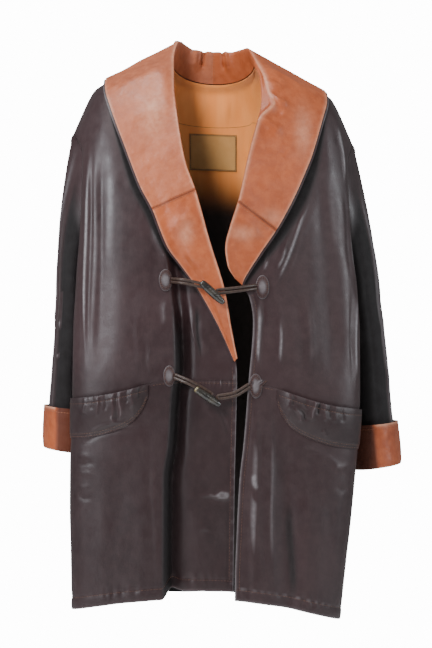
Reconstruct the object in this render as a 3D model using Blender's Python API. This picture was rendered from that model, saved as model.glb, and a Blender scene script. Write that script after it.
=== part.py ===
"""Leather jacket with a wide shawl collar, turned-back cuffs, pouch pockets and two toggle fastenings.

It hangs filled out and hollow. Metres, Z up, the front faces -Y, and the origin lies at the neck between the
shoulders. Left and right are the wearer's, so the right side lies at -X. Most sizes are given on one side as
"out", the distance from the middle towards that side.
"""

import math

import bmesh
import bpy
import numpy as np
from mathutils.bvhtree import BVHTree
from mathutils.kdtree import KDTree

RIGHT, LEFT = -1, 1

# Leather and cloth
LEATHER = 0.0016
COLLAR_LEATHER = 0.0014
UNDERCOLLAR_LEATHER = 0.0012
LINING_CLOTH = 0.0010
LABEL_LEATHER = 0.0010
SEAM_GAP = 0.0004
BESIDE = 0.006
LAYER_GAP = 0.0003
LOOSE_GAP = 0.0008
HANG_SLOPE = 0.037

# Torso
TIP_OUT = 0.2365
TIP_Z = -0.096
UNDERARM_Z = -0.300
UNDERARM_Y = 0.012
UNDERARM_UP = 0.72
ARMHOLE_FRONT_BOW = 0.048
ARMHOLE_BACK_BOW = 0.066
ARMHOLE_BACK_INSET = 0.006
NECK_HALF = 0.070
NECK_SCOOP_Y = 0.072
NECK_SCOOP_Z = 0.028
SIDE_ROUNDNESS = 2.6
WRAP_ANGLE = math.radians(60)
RIDGE_SOFTNESS = 0.017
GULLY_OFFSET = 0.014
GULLY_WIDTH = 0.013
BACK_HEM_RISE = 0.30
HEM_LIFT = 0.45
HEM_LIFT_TOP = -0.60
HEM_LIFT_SPAN = 0.25
DENSE = 181

# Grid counts
COLUMNS_ACROSS_FRONT = 20
ROWS_LOWER = 8
ROWS_TO_UNDERARM = 6
ROWS_ARMHOLE = 8
COLUMNS_NECK = 5

# Sleeves
SLEEVE_TOP_ROWS = 6
SLEEVE_LOW_ROWS = 6
SLEEVE_SWELL = {RIGHT: 2.2, LEFT: 1.5}
SLEEVE_SEAM_GAP = 0.0007
SLEEVE_CLEARANCE = 0.0045
CLEAR_STEP = 0.0004
CLEAR_ROUNDS = 30
CUFF_LIP = 0.0016
CUFF_LIP_BEND = 0.006

# Collar
COLLAR_UPPER = (0, 0.6, 1.2, 1.7, 2.1, 2.5, 2.8, 3.1, 3.4, 3.8, 4.2, 4.7, 5.3, 6, 6.7, 7.4, 8)
COLLAR_ROWS_LOWER = 8
COLLAR_EDGE_LIFT = 0.0034
COLLAR_STAND_LIFT = 0.0020
COLLAR_LOOSE = 0.0010
UNDERCOLLAR_RIM = 0.0026
UNDERCOLLAR_FROM = 0.48
COLLAR_SEAM_GAP = 0.0012
COLLAR_END_ROWS = 2.0
COLLAR_END_LOOSE = 0.22

# Pockets
POCKET_ROWS = 4
POCKET_PUFF = 0.010
POCKET_GATHERS = 7
POCKET_CORNER_STEP = 0.012
POCKET_BELOW_SEAM = 0.002
POCKET_FADE_IN = 0.12
POCKET_FADE_OUT = 0.50
POCKET_PUFF_TURN = 0.62
POCKET_GATHER_DEPTH = 0.0022

# Toggles
TOGGLE_SIDES = 10
CORD_RADIUS = 0.0021
CORD_SIDES = 6
CORD_STEPS = 18
CORD_SAG = 0.002
STRAND_OFFSET = 0.0028
PATCH_SIDES = 18
PATCH_RINGS = (0.55, 1.0)
PATCH_STIFFNESS = 0.6
PATCH_LEATHER = 0.0015


def table(columns, rows):
    """A table of sizes as one array for each named column."""
    return {name: np.array([row[i] for row in rows], float) for i, name in enumerate(columns)}


# Torso by share of the way up from hem to shoulder
BODY = table(
    ("up", "side_z", "rise", "share", "front_y", "back_y", "tuck", "wrap"),
    (
        (0.00, -0.879, 0.034, 0.00, -0.149, 0.138, 0.040, 0.066),
        (0.14, -0.767, 0.016, 0.00, -0.147, 0.134, 0.042, 0.068),
        (0.28, -0.655, 0.004, 0.00, -0.144, 0.130, 0.043, 0.070),
        (0.45, -0.520, 0.000, 0.00, -0.140, 0.126, 0.042, 0.069),
        (0.60, -0.398, 0.000, 0.00, -0.136, 0.122, 0.034, 0.062),
        (0.72, -0.300, 0.000, 0.02, -0.131, 0.118, 0.022, 0.060),
        (0.78, -0.262, 0.000, 0.11, -0.129, 0.116, 0.009, 0.028),
        (0.84, -0.221, 0.000, 0.26, -0.122, 0.108, 0.003, 0.014),
        (0.92, -0.134, 0.000, 0.62, -0.092, 0.084, 0.001, 0.006),
        (0.97, -0.102, 0.000, 0.87, -0.051, 0.050, 0.001, 0.002),
        (1.00, -0.096, 0.000, 1.00, 0.000, 0.000, 0.000, 0.000),
    ),
)

# Where the torso turns from the front to the side, by height
SILHOUETTE = table(
    ("z", "right", "left"),
    (
        (-0.880, 0.2335, 0.2100),
        (-0.780, 0.2350, 0.2205),
        (-0.720, 0.2365, 0.2275),
        (-0.640, 0.2360, 0.2350),
        (-0.580, 0.2335, 0.2400),
        (-0.500, 0.2320, 0.2430),
        (-0.420, 0.2310, 0.2430),
        (-0.345, 0.2270, 0.2395),
        (-0.300, 0.2245, 0.2360),
    ),
)

# Front of the armhole from the tip to the underarm: share of the way inward
ARMHOLE = table(
    ("turn", "share"),
    (
        (0.00, 0.00),
        (0.12, 0.33),
        (0.25, 0.60),
        (0.50, 0.62),
        (0.70, 0.64),
        (0.85, 0.74),
        (1.00, 1.00),
    ),
)

# Ridge of the shoulder from the neck to the tip
SHOULDER = table(
    ("out", "z"),
    (
        (0.000, 0.036),
        (0.070, 0.036),
        (0.120, 0.0185),
        (0.180, -0.004),
        (0.198, -0.016),
        (0.207, -0.030),
        (0.217, -0.051),
        (0.227, -0.074),
        (0.2365, -0.096),
    ),
)

# Opening edge of each front, from the hem to the neck
OPENING = table(
    ("z", "right"),
    (
        (-0.880, -0.0330),
        (-0.820, -0.0334),
        (-0.640, -0.0358),
        (-0.570, -0.0374),
        (-0.490, -0.0391),
        (-0.455, -0.0370),
        (-0.410, -0.0262),
        (-0.346, -0.0139),
        (-0.266, 0.0103),
        (-0.196, 0.0297),
        (-0.140, 0.0493),
        (-0.075, 0.0612),
        (-0.012, 0.0685),
        (0.036, 0.0700),
    ),
)
OPENING_LEFT = table(
    ("z", "left"),
    (
        (-0.880, 0.0350),
        (-0.820, 0.0352),
        (-0.745, 0.0380),
        (-0.655, 0.0425),
        (-0.590, 0.0496),
        (-0.490, 0.0577),
        (-0.396, 0.0649),
        (-0.356, 0.0600),
        (-0.330, 0.0420),
        (-0.310, 0.0300),
        (-0.277, 0.0258),
        (-0.241, 0.0335),
        (-0.200, 0.0465),
        (-0.125, 0.0630),
        (-0.074, 0.0735),
        (-0.030, 0.0815),
        (0.005, 0.0800),
        (0.036, 0.0700),
    ),
)

# Fold that carries the patches on the right front: past it the panel drops back towards the opening
RIDGE = table(
    ("z", "out", "drop", "gully"),
    (
        (-0.880, 0.0825, 0.024, 0.012),
        (-0.840, 0.0830, 0.024, 0.012),
        (-0.655, 0.0825, 0.018, 0.014),
        (-0.600, 0.0750, 0.016, 0.016),
        (-0.510, 0.0690, 0.014, 0.016),
        (-0.475, 0.0640, 0.014, 0.016),
        (-0.400, 0.0665, 0.012, 0.016),
        (-0.310, 0.0760, 0.008, 0.010),
        (-0.270, 0.0850, 0.002, 0.004),
        (-0.220, 0.1000, 0.000, 0.000),
    ),
)

# Long soft folds that hang in the panels: where they start and end, half width and height
FOLD_COLUMNS = ("top_out", "top_z", "low_out", "low_z", "width", "height")
FOLDS = {
    RIGHT: table(
        FOLD_COLUMNS,
        (
            (0.180, -0.100, 0.186, -0.500, 0.0220, -0.0060),
            (0.152, -0.600, 0.158, -0.900, 0.0190, -0.0070),
            (0.112, -0.640, 0.116, -0.900, 0.0180, 0.0050),
            (0.196, -0.620, 0.200, -0.900, 0.0180, -0.0040),
            (0.030, -0.640, 0.020, -0.900, 0.0180, 0.0060),
        ),
    ),
    LEFT: table(
        FOLD_COLUMNS,
        (
            (0.150, -0.190, 0.082, -0.360, 0.0140, 0.0050),
            (0.180, -0.140, 0.194, -0.500, 0.0220, -0.0060),
            (0.118, -0.560, 0.118, -0.900, 0.0170, -0.0110),
            (0.076, -0.500, 0.074, -0.900, 0.0200, 0.0060),
            (0.172, -0.640, 0.164, -0.900, 0.0200, 0.0060),
        ),
    ),
}
BACK_FOLDS = table(
    FOLD_COLUMNS,
    (
        (-0.120, -0.260, -0.135, -0.900, 0.0220, 0.0080),
        (-0.055, -0.400, -0.050, -0.900, 0.0200, -0.0090),
        (0.020, -0.330, 0.030, -0.900, 0.0220, 0.0080),
        (0.085, -0.420, 0.095, -0.900, 0.0180, -0.0080),
        (0.150, -0.280, 0.150, -0.900, 0.0180, 0.0070),
    ),
)
FOLD_FADE = 0.090
FOLD_SIDE_FADE = 0.45

# Waist seam, which is also the line of the pocket mouths
WAIST = table(
    ("out", "z"),
    (
        (-0.060, -0.492),
        (0.060, -0.495),
        (0.105, -0.502),
        (0.130, -0.510),
        (0.165, -0.520),
        (0.205, -0.528),
        (0.250, -0.532),
    ),
)

# Pouch from its inner corner round to the side seam
POCKET_CORNER_OUT = 0.104
POCKET_END = 0.86
POCKET = table(
    ("along", "drop"),
    (
        (0.00, 0.022),
        (0.05, 0.042),
        (0.13, 0.056),
        (0.27, 0.063),
        (0.45, 0.066),
        (0.70, 0.067),
        (1.00, 0.068),
    ),
)

# Sleeve below the armhole: outermost line, half sizes, middle and tilt of the rings
SLEEVE_COLUMNS = ("z", "outer", "half_out", "middle_y", "half_y", "tilt")
SLEEVES = {
    RIGHT: table(
        SLEEVE_COLUMNS,
        (
            (-0.360, 0.2670, 0.034, 0.056, 0.078, 0.00),
            (-0.450, 0.2718, 0.035, 0.056, 0.075, 0.02),
            (-0.530, 0.2785, 0.036, 0.056, 0.070, 0.06),
            (-0.624, 0.2850, 0.038, 0.056, 0.066, 0.10),
        ),
    ),
    LEFT: table(
        SLEEVE_COLUMNS,
        (
            (-0.350, 0.2835, 0.034, 0.056, 0.078, 0.04),
            (-0.430, 0.2935, 0.035, 0.056, 0.075, 0.08),
            (-0.530, 0.3035, 0.037, 0.056, 0.070, 0.14),
            (-0.632, 0.3165, 0.039, 0.056, 0.066, 0.18),
        ),
    ),
}

# Turned-back cuff, from its lip round the bottom and up: height over the sleeve end and stand-off
CUFF = table(
    ("rise", "off"),
    (
        (-CUFF_LIP, -0.0008),
        (-0.0008, 0.0034),
        (0.0060, 0.0052),
        (0.0360, 0.0066),
        (0.0720, 0.0078),
    ),
)

# Shawl collar from the centre back to its end on the opening: seam, roll line and outer edge
COLLAR_COLUMNS = (
    "seam_out", "seam_y", "seam_z",
    "roll_out", "roll_y", "roll_z",
    "edge_out", "edge_y", "edge_z",
)
COLLARS = {
    RIGHT: table(
        COLLAR_COLUMNS,
        (
            (0.0000, 0.072, 0.008, 0.0000, 0.070, 0.0575, 0.0000, 0.118, -0.046),
            (0.0420, 0.057, 0.016, 0.0310, 0.060, 0.0625, 0.0850, 0.106, -0.042),
            (0.0640, 0.026, 0.028, 0.0470, 0.040, 0.0680, 0.1480, 0.060, -0.022),
            (0.0700, 0.000, 0.036, 0.0560, 0.016, 0.0690, 0.1790, 0.000, -0.002),
            (0.0700, -0.036, 0.016, 0.0656, -0.036, 0.0350, 0.1740, -0.040, -0.030),
            (0.0685, -0.060, -0.012, 0.0648, -0.074, -0.0120, 0.1660, -0.068, -0.056),
            (0.0612, -0.095, -0.075, 0.0572, -0.112, -0.0746, 0.1430, -0.100, -0.118),
            (0.0493, -0.115, -0.140, 0.0453, -0.133, -0.1403, 0.1165, -0.120, -0.185),
            (0.0340, -0.122, -0.186, 0.0290, -0.140, -0.1860, 0.0985, -0.128, -0.218),
            (0.0103, -0.128, -0.266, 0.0063, -0.146, -0.2663, 0.0735, -0.134, -0.278),
            (-0.0139, -0.125, -0.346, -0.0179, -0.146, -0.3461, 0.0224, -0.130, -0.348),
            (-0.0262, -0.122, -0.410, -0.0292, -0.140, -0.4101, -0.0131, -0.128, -0.411),
            (-0.0370, -0.122, -0.455, -0.0385, -0.131, -0.4560, -0.0355, -0.128, -0.461),
        ),
    ),
    LEFT: table(
        COLLAR_COLUMNS,
        (
            (0.0000, 0.072, 0.008, 0.0000, 0.070, 0.0575, 0.0000, 0.118, -0.046),
            (0.0420, 0.057, 0.016, 0.0310, 0.060, 0.0615, 0.0850, 0.106, -0.042),
            (0.0640, 0.026, 0.028, 0.0470, 0.040, 0.0650, 0.1500, 0.060, -0.024),
            (0.0700, 0.000, 0.036, 0.0570, 0.016, 0.0655, 0.1880, 0.000, -0.004),
            (0.0780, -0.036, 0.012, 0.0760, -0.030, 0.0280, 0.1830, -0.040, -0.036),
            (0.0815, -0.066, -0.030, 0.0880, -0.076, -0.0160, 0.1750, -0.072, -0.070),
            (0.0735, -0.094, -0.074, 0.0740, -0.108, -0.0660, 0.1600, -0.094, -0.122),
            (0.0630, -0.110, -0.125, 0.0586, -0.128, -0.1247, 0.1370, -0.116, -0.180),
            (0.0455, -0.122, -0.203, 0.0413, -0.140, -0.2026, 0.1025, -0.130, -0.2455),
            (0.0335, -0.125, -0.241, 0.0292, -0.143, -0.2408, 0.0775, -0.132, -0.2830),
            (0.0258, -0.128, -0.277, 0.0211, -0.144, -0.2765, 0.0585, -0.134, -0.3130),
            (0.0300, -0.130, -0.310, 0.0250, -0.142, -0.3060, 0.0490, -0.136, -0.3300),
            (0.0400, -0.131, -0.328, 0.0370, -0.137, -0.3270, 0.0470, -0.136, -0.3370),
        ),
    ),
}
CROSS_SEAM_ROW = 8
COLLAR_STEPS = (0.0, 0.10, 0.19, 0.27, 0.36, 0.48, 0.66, 0.84, 1.0)

# Course of the collar from seam to edge: knots of its curve, and how far it stands off the panels
COLLAR_KNOTS = (0.0, 0.14, 0.25, 0.36, 0.66, 1.0)
COLLAR_STAND = 0.60
COLLAR_EARLY = 0.14
COLLAR_LATE = 0.55
COLLAR_FALL_FROM = 0.30
COLLAR_LIES_FROM = 0.60
COLLAR_LIFT = table(
    ("step", "lift"),
    (
        (0.00, 0.0000),
        (0.25, 0.0100),
        (0.36, 0.0100),
        (0.66, 0.0065),
        (1.00, COLLAR_EDGE_LIFT),
    ),
)

# Lining in the back of the neck
LINING_YOKE_Z = -0.060
LINING_SHORT = 0.25
LINING_FROM_SIDE = 5
LABEL_COLUMNS = 8
LABEL_ROWS = 6
LABEL_WIDE = 0.081
LABEL_HIGH = 0.062
LABEL_TOP_Z = -0.075

# Patches: middle, half width and half height
PATCHES = {
    "patch_upper_right": (RIGHT, 0.0765, -0.3335, 0.0110, 0.0180),
    "patch_upper_left": (LEFT, 0.0800, -0.3390, 0.0110, 0.0195),
    "patch_lower_right": (RIGHT, 0.0705, -0.4880, 0.0095, 0.0170),
    "patch_lower_left": (LEFT, 0.0690, -0.4990, 0.0105, 0.0200),
}

# Cords from patch to toggle: the patch, then the bend and the end of their middle line as x, z
CORD_DEPTH = -0.1530
CORDS = {
    "cord_upper_right": ("patch_upper_right", (-0.046, -0.3350), (-0.0120, -0.3410)),
    "cord_upper_left": ("patch_upper_left", (0.042, -0.3440), (0.0090, -0.3490)),
    "cord_lower_right": ("patch_lower_right", (-0.034, -0.4985), (-0.0040, -0.5150)),
    "cord_lower_left": ("patch_lower_left", (0.034, -0.5135), (0.0100, -0.5190)),
}

# Toggles: two ends as x, z, how far they sink between the cords, and the radius along the horn
TOGGLES = {
    "toggle_upper": ((-0.0190, -0.3345), (0.0178, -0.3680), 0.0),
    "toggle_lower": ((-0.0279, -0.5060), (0.0120, -0.5320), 0.0008),
}
TOGGLE_SHAPE = table(
    ("along", "radius"),
    (
        (0.00, 0.0030),
        (0.03, 0.0048),
        (0.12, 0.0060),
        (0.35, 0.0068),
        (0.60, 0.0066),
        (0.85, 0.0054),
        (0.97, 0.0038),
        (1.00, 0.0022),
    ),
)

# Colour, roughness and metallic share of the materials
DARK_LEATHER = ("dark_leather", (0.043, 0.027, 0.024), 0.42, 0.0)
TAN_LEATHER = ("tan_leather", (0.45, 0.15, 0.065), 0.48, 0.0)
LINING_SATIN = ("lining_cloth", (0.56, 0.27, 0.09), 0.55, 0.0)
LABEL_HIDE = ("label_leather", (0.38, 0.24, 0.09), 0.60, 0.0)
CORD_LEATHER = ("cord_leather", (0.040, 0.024, 0.020), 0.50, 0.0)
HORN = ("horn", (0.028, 0.024, 0.020), 0.30, 0.0)


def smooth(knots, values, at):
    """Values at the given places on a curve through the knots that never overshoots them."""
    knots = np.asarray(knots, float)
    values = np.asarray(values, float)
    at = np.clip(np.asarray(at, float), knots[0], knots[-1])
    width = np.diff(knots)
    slope = np.diff(values) / width
    lean = np.zeros_like(values)
    lean[0], lean[-1] = slope[0], slope[-1]
    before, after = slope[:-1], slope[1:]
    total = np.where(before * after > 0, before + after, 1.0)
    lean[1:-1] = np.where(before * after > 0, 2 * before * after / total, 0.0)
    i = np.clip(np.searchsorted(knots, at, side="right") - 1, 0, len(width) - 1)
    t = (at - knots[i]) / width[i]
    rest = 1 - t
    return (
        values[i] * (1 + 2 * t) * rest**2
        + values[i + 1] * (3 - 2 * t) * t**2
        + width[i] * (lean[i] * t * rest**2 - lean[i + 1] * rest * t**2)
    )


def ease(share):
    """A soft step from 0 to 1."""
    share = np.clip(share, 0.0, 1.0)
    return share * share * (3 - 2 * share)


def unit(vectors):
    """Vectors of length one."""
    return vectors / np.maximum(np.linalg.norm(vectors, axis=-1, keepdims=True), 1e-12)


def spaced(points, shares):
    """Points at the given shares of a line's length."""
    steps = np.linalg.norm(np.diff(points[:, :3], axis=0), axis=1)
    along = np.concatenate([[0.0], np.cumsum(steps)])
    return np.stack([np.interp(shares * along[-1], along, c) for c in points.T], axis=1)


def silhouette(side, z):
    """How far out the torso reaches at a height."""
    return smooth(SILHOUETTE["z"], SILHOUETTE["right" if side == RIGHT else "left"], z)


def opening(side, z):
    """How far out the opening edge of a front lies at a height."""
    if side == RIGHT:
        return smooth(OPENING["z"], OPENING["right"], z)
    return smooth(OPENING_LEFT["z"], OPENING_LEFT["left"], z)


def armhole(side, turn, facing):
    """A point of the armhole, from the tip at 0 to the underarm at 1, in front (-1) or behind (1)."""
    fall = (1 - np.cos(np.pi * turn)) / 2
    under_out = silhouette(side, UNDERARM_Z) - np.interp(UNDERARM_UP, BODY["up"], BODY["tuck"])
    bow = np.sin(np.pi * turn)
    y = UNDERARM_Y * turn
    if facing < 0:
        out = TIP_OUT + (under_out - TIP_OUT) * smooth(ARMHOLE["turn"], ARMHOLE["share"], turn)
        y = y - ARMHOLE_FRONT_BOW * bow
    else:
        out = TIP_OUT + (under_out - TIP_OUT) * fall - ARMHOLE_BACK_INSET * bow
        y = y + ARMHOLE_BACK_BOW * bow
    return out, y, TIP_Z + (UNDERARM_Z - TIP_Z) * fall


def torso_row(side, up, facing):
    """Sizes of the torso at one share of the way up, with the seam or armhole point at its side."""
    row = {name: float(smooth(BODY["up"], BODY[name], up)) for name in BODY}
    if up >= UNDERARM_UP:
        turn = (1 - up) / (1 - UNDERARM_UP)
        row["out"], row["y"], row["z"] = armhole(side, turn, facing)
        row["half"] = row["out"] + row["tuck"]
    else:
        row["half"] = float(silhouette(side, row["side_z"]))
        row["out"] = row["half"] - row["tuck"]
        row["y"] = UNDERARM_Y
        row["z"] = row["side_z"]
    return row


def row_height(row, out, reach):
    """Height along a torso row that slopes with the shoulder in its upper part."""
    share = np.abs(out) / reach
    slope = smooth(SHOULDER["out"], SHOULDER["z"], share * TIP_OUT) - TIP_Z
    return row["z"] + row["rise"] * (1 - share**2) + row["share"] * slope


def front_line(side, up):
    """One row of a front as a line of out, y, z and face share, from the opening to its side edge."""
    row = torso_row(side, up, -1)
    half = row["half"]
    inner = 0.05
    for _ in range(24):
        inner = float(opening(side, row_height(row, inner, half)))
    out = inner + (half - inner) * np.sin(np.linspace(0, np.pi / 2, 200))
    face = np.maximum(1 - np.abs(out / half) ** SIDE_ROUNDNESS, 0) ** (1 / SIDE_ROUNDNESS)
    turn_y = row["y"] - row["wrap"]
    y = turn_y + (row["front_y"] - turn_y) * face
    z = row_height(row, out, half)
    angle = np.linspace(0, WRAP_ANGLE, 80)[1:]
    round_out = half - row["tuck"] * (1 - np.cos(angle)) / (1 - math.cos(WRAP_ANGLE))
    round_y = turn_y + row["wrap"] * np.sin(angle) / math.sin(WRAP_ANGLE)
    flat = np.stack([out, y, z, face], axis=1)
    bend = np.stack([round_out, round_y, np.full(79, row["z"]), np.zeros(79)], axis=1)
    return np.concatenate([flat, bend])


def back_line(side, up):
    """One half row of the back from the middle to its side edge, in an inner and an outer part."""
    row = torso_row(side, up, 1)
    row["rise"] *= BACK_HEM_RISE
    reach = row["out"]
    stop = NECK_HALF * reach / TIP_OUT
    parts = []
    for start, end in ((0.0, stop), (stop, reach)):
        turn = np.linspace(math.asin(start / reach), math.asin(end / reach), 160)
        out = reach * np.sin(turn)
        face = np.maximum(1 - (out / reach) ** SIDE_ROUNDNESS, 0) ** (1 / SIDE_ROUNDNESS)
        scoop = np.sqrt(np.maximum(1 - (out / stop) ** 2, 0))
        y = row["y"] + (row["back_y"] - row["y"]) * face
        y = y + NECK_SCOOP_Y * scoop * row["share"] ** 6
        z = row_height(row, out, reach) - NECK_SCOOP_Z * scoop * row["share"] ** 2
        parts.append(np.stack([out, y, z, face], axis=1))
    return parts


def fold_height(folds, out, z):
    """Sum of the long folds of a panel at each place."""
    total = np.zeros_like(out)
    for i in range(len(folds["width"])):
        down = np.clip(folds["top_z"][i] - z, 0, None)
        span = folds["top_z"][i] - folds["low_z"][i]
        middle = folds["top_out"][i] + (folds["low_out"][i] - folds["top_out"][i]) * down / span
        fade = ease(down / FOLD_FADE) * ease((z - folds["low_z"][i]) / FOLD_FADE)
        if folds["low_z"][i] < BODY["side_z"][0]:
            fade = ease(down / FOLD_FADE)
        total += folds["height"][i] * fade * np.exp(-(((out - middle) / folds["width"][i]) ** 2))
    return total


def ridge_drop(out, z):
    """How far the right front drops back past its ridge."""
    ridge = smooth(RIDGE["z"], RIDGE["out"], z)
    drop = smooth(RIDGE["z"], RIDGE["drop"], z)
    gully = smooth(RIDGE["z"], RIDGE["gully"], z)
    inside = ease((ridge - out) / RIDGE_SOFTNESS)
    trough = np.exp(-(((out - ridge + GULLY_OFFSET) / GULLY_WIDTH) ** 2))
    return drop * inside + gully * trough * inside


def normals(points):
    """Directions square to a surface of points."""
    across = np.gradient(points, axis=1)
    up = np.gradient(points, axis=0)
    return unit(np.cross(across, up))


class Sheet:
    """A densely worked out surface that panels are cut from."""

    def __init__(self, points, outward):
        """Keeps the points and finds the directions out of the garment, which lie along outward."""
        self.points = points
        facing = normals(points)
        middle = facing[points.shape[0] // 3, points.shape[1] // 3]
        self.out = facing * np.sign(np.dot(middle, outward))

    def at(self, across, up):
        """Points and outward directions at shares across and up the sheet."""
        rows, columns = self.points.shape[:2]
        a = np.clip(np.asarray(across, float), 0, 1) * (columns - 1)
        b = np.clip(np.asarray(up, float), 0, 1) * (rows - 1)
        i = np.minimum(a.astype(int), columns - 2)
        j = np.minimum(b.astype(int), rows - 2)
        s, t = (a - i)[..., None], (b - j)[..., None]
        found = []
        for grid in (self.points, self.out):
            low = grid[j, i] * (1 - s) + grid[j, i + 1] * s
            high = grid[j + 1, i] * (1 - s) + grid[j + 1, i + 1] * s
            found.append(low * (1 - t) + high * t)
        return found[0], unit(found[1])

    def up_at(self, across, z):
        """Share up the sheet where one column reaches a height."""
        line = self.at(np.full(400, across), np.linspace(0, 1, 400))[0][:, 2]
        return float(np.interp(z, line, np.linspace(0, 1, 400)))

    def find(self, out, z):
        """Shares across and up where the front of the sheet lies at a distance out and a height."""
        across, up = 0.4, 0.5
        shares = np.linspace(0, 1, 400)
        for _ in range(8):
            up = self.up_at(across, z)
            line = self.at(shares, np.full(400, up))[0][:, 0] * self.mark
            turn = int(np.argmax(line))
            across = float(np.interp(out, line[: turn + 1], shares[: turn + 1]))
        return across, up


def front_sheet(side):
    """The front of one side from the opening to the side seam and armhole, hem to shoulder."""
    shares = np.linspace(0, 1, DENSE)
    lines = np.stack([spaced(front_line(side, up), shares) for up in np.linspace(0, 1, DENSE)])
    out, y, z, face = np.moveaxis(lines, 2, 0)
    y = y - fold_height(FOLDS[side], out, z) * ease(face / FOLD_SIDE_FADE)
    if side == RIGHT:
        drop = ridge_drop(out, z)
        y = y + drop
        z = z + HEM_LIFT * drop * ease((HEM_LIFT_TOP - z) / HEM_LIFT_SPAN)
    sheet = Sheet(np.stack([side * out, y, z], axis=2), np.array([0.0, -1.0, 0.0]))
    sheet.mark = side
    return sheet


def back_sheets():
    """The back as four strips across: left outer, left inner, right inner and right outer."""
    strips = {}
    shares = np.linspace(0, 1, DENSE)
    for side in (RIGHT, LEFT):
        rows = [back_line(side, up) for up in np.linspace(0, 1, DENSE)]
        for k, part in enumerate(("inner", "outer")):
            lines = np.stack([spaced(row[k], shares) for row in rows])
            out, y, z, face = np.moveaxis(lines, 2, 0)
            y = y + fold_height(BACK_FOLDS, side * out, z) * ease(face / FOLD_SIDE_FADE)
            sheet = Sheet(np.stack([side * out, y, z], axis=2), np.array([0.0, 1.0, 0.0]))
            sheet.mark = side
            strips[side, part] = sheet
    return strips


def waist_up(sheet):
    """Share up a front at each of its columns where the waist seam runs."""
    shares = np.linspace(0, 1, 61)
    found = []
    for across in shares:
        up = 0.47
        for _ in range(6):
            place = sheet.at(np.array([across]), np.array([up]))[0][0]
            up = sheet.up_at(across, float(smooth(WAIST["out"], WAIST["z"], place[0] * sheet.mark)))
        found.append(up)
    return shares, np.array(found)


def halves(a, b, c, d):
    """The two triangles of a cell with the given corners."""
    return [(a, b, c), (a, c, d)]


class Panel:
    """A grid of points on the outer face of a piece, with the directions into its thickness."""

    def __init__(self, name, points, inward, closed=False):
        """Keeps the grid of one piece; a closed grid runs round a tube."""
        self.name = name
        self.points = points.copy()
        self.inward = inward.copy()
        self.closed = closed
        self.halved = []

    def rim(self):
        """Index pairs of the points on the grid's edges."""
        rows, columns = self.points.shape[:2]
        found = {(j, i) for j in (0, rows - 1) for i in range(columns)}
        if not self.closed:
            found |= {(j, i) for i in (0, columns - 1) for j in range(rows)}
        return sorted(found)

    def draw_in(self, distance):
        """Moves the edges back along the face by half a seam gap."""
        old = self.points.copy()
        rows, columns = old.shape[:2]
        for edge, inner in ((0, 1), (rows - 1, rows - 2)):
            tangent = np.gradient(old[edge], axis=0)
            if self.closed:
                tangent = np.roll(old[edge], -1, axis=0) - np.roll(old[edge], 1, axis=0)
            step = self.square_to(tangent, self.inward[edge], old[inner] - old[edge])
            self.points[edge] += distance * step
        if not self.closed:
            for edge, inner in ((0, 1), (columns - 1, columns - 2)):
                tangent = np.gradient(old[:, edge], axis=0)
                step = self.square_to(tangent, self.inward[:, edge], old[:, inner] - old[:, edge])
                self.points[:, edge] += distance * step

    def square_to(self, tangent, inward, towards):
        """Directions along the face, square to an edge, on the side of the given ones."""
        aside = unit(np.cross(tangent, inward))
        return aside * np.sign(np.sum(aside * towards, axis=-1, keepdims=True))

    def even_out(self):
        """Sets every second point of the halved edges midway between its neighbours."""
        for edge in self.halved:
            for grid in (self.points, self.inward):
                line = grid[edge]
                line[1:-1:2] = (line[0:-2:2] + line[2::2]) / 2

    def faces(self):
        """Triangles of the grid as index tuples, two for each of its cells."""
        rows, columns = self.points.shape[:2]
        last = columns if self.closed else columns - 1
        found = []
        for j in range(rows - 1):
            for i in range(last):
                a, b = j * columns + i, j * columns + (i + 1) % columns
                found += halves(a, b, b + columns, a + columns)
        return found


def meet(panels, within=0.0012):
    """Makes edge points that lie together share one place and one direction."""
    spots = [(panel, j, i) for panel in panels for j, i in panel.rim()]
    tree = KDTree(len(spots))
    for n, (panel, j, i) in enumerate(spots):
        tree.insert(panel.points[j, i], n)
    tree.balance()
    new = []
    for panel, j, i in spots:
        near = [spots[n] for _, n, _ in tree.find_range(panel.points[j, i], within)]
        place = np.mean([p.points[b, a] for p, b, a in near], axis=0)
        into = unit(np.sum([p.inward[b, a] for p, b, a in near], axis=0))
        new.append((place, into))
    for (panel, j, i), (place, into) in zip(spots, new):
        panel.points[j, i] = place
        panel.inward[j, i] = into


def hang(points):
    """Lets the garment hang a little lower on the wearer's left."""
    moved = np.array(points, float)
    moved[..., 2] -= HANG_SLOPE * moved[..., 0]
    return moved


def add_object(name, vertices, faces, look):
    """A closed solid of one material with its faces outward."""
    mesh = bpy.data.meshes.new(name)
    mesh.from_pydata([tuple(v) for v in hang(vertices)], [], faces)
    shape = bmesh.new()
    shape.from_mesh(mesh)
    bmesh.ops.recalc_face_normals(shape, faces=shape.faces)
    shape.to_mesh(mesh)
    shape.free()
    title, colour, roughness, metallic = look
    material = bpy.data.materials.get(title) or bpy.data.materials.new(title)
    material.use_nodes = True
    shader = material.node_tree.nodes["Principled BSDF"]
    shader.inputs["Base Color"].default_value = (*colour, 1.0)
    shader.inputs["Roughness"].default_value = roughness
    shader.inputs["Metallic"].default_value = metallic
    mesh.materials.append(material)
    made = bpy.data.objects.new(name, mesh)
    bpy.context.scene.collection.objects.link(made)
    return made


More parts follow.
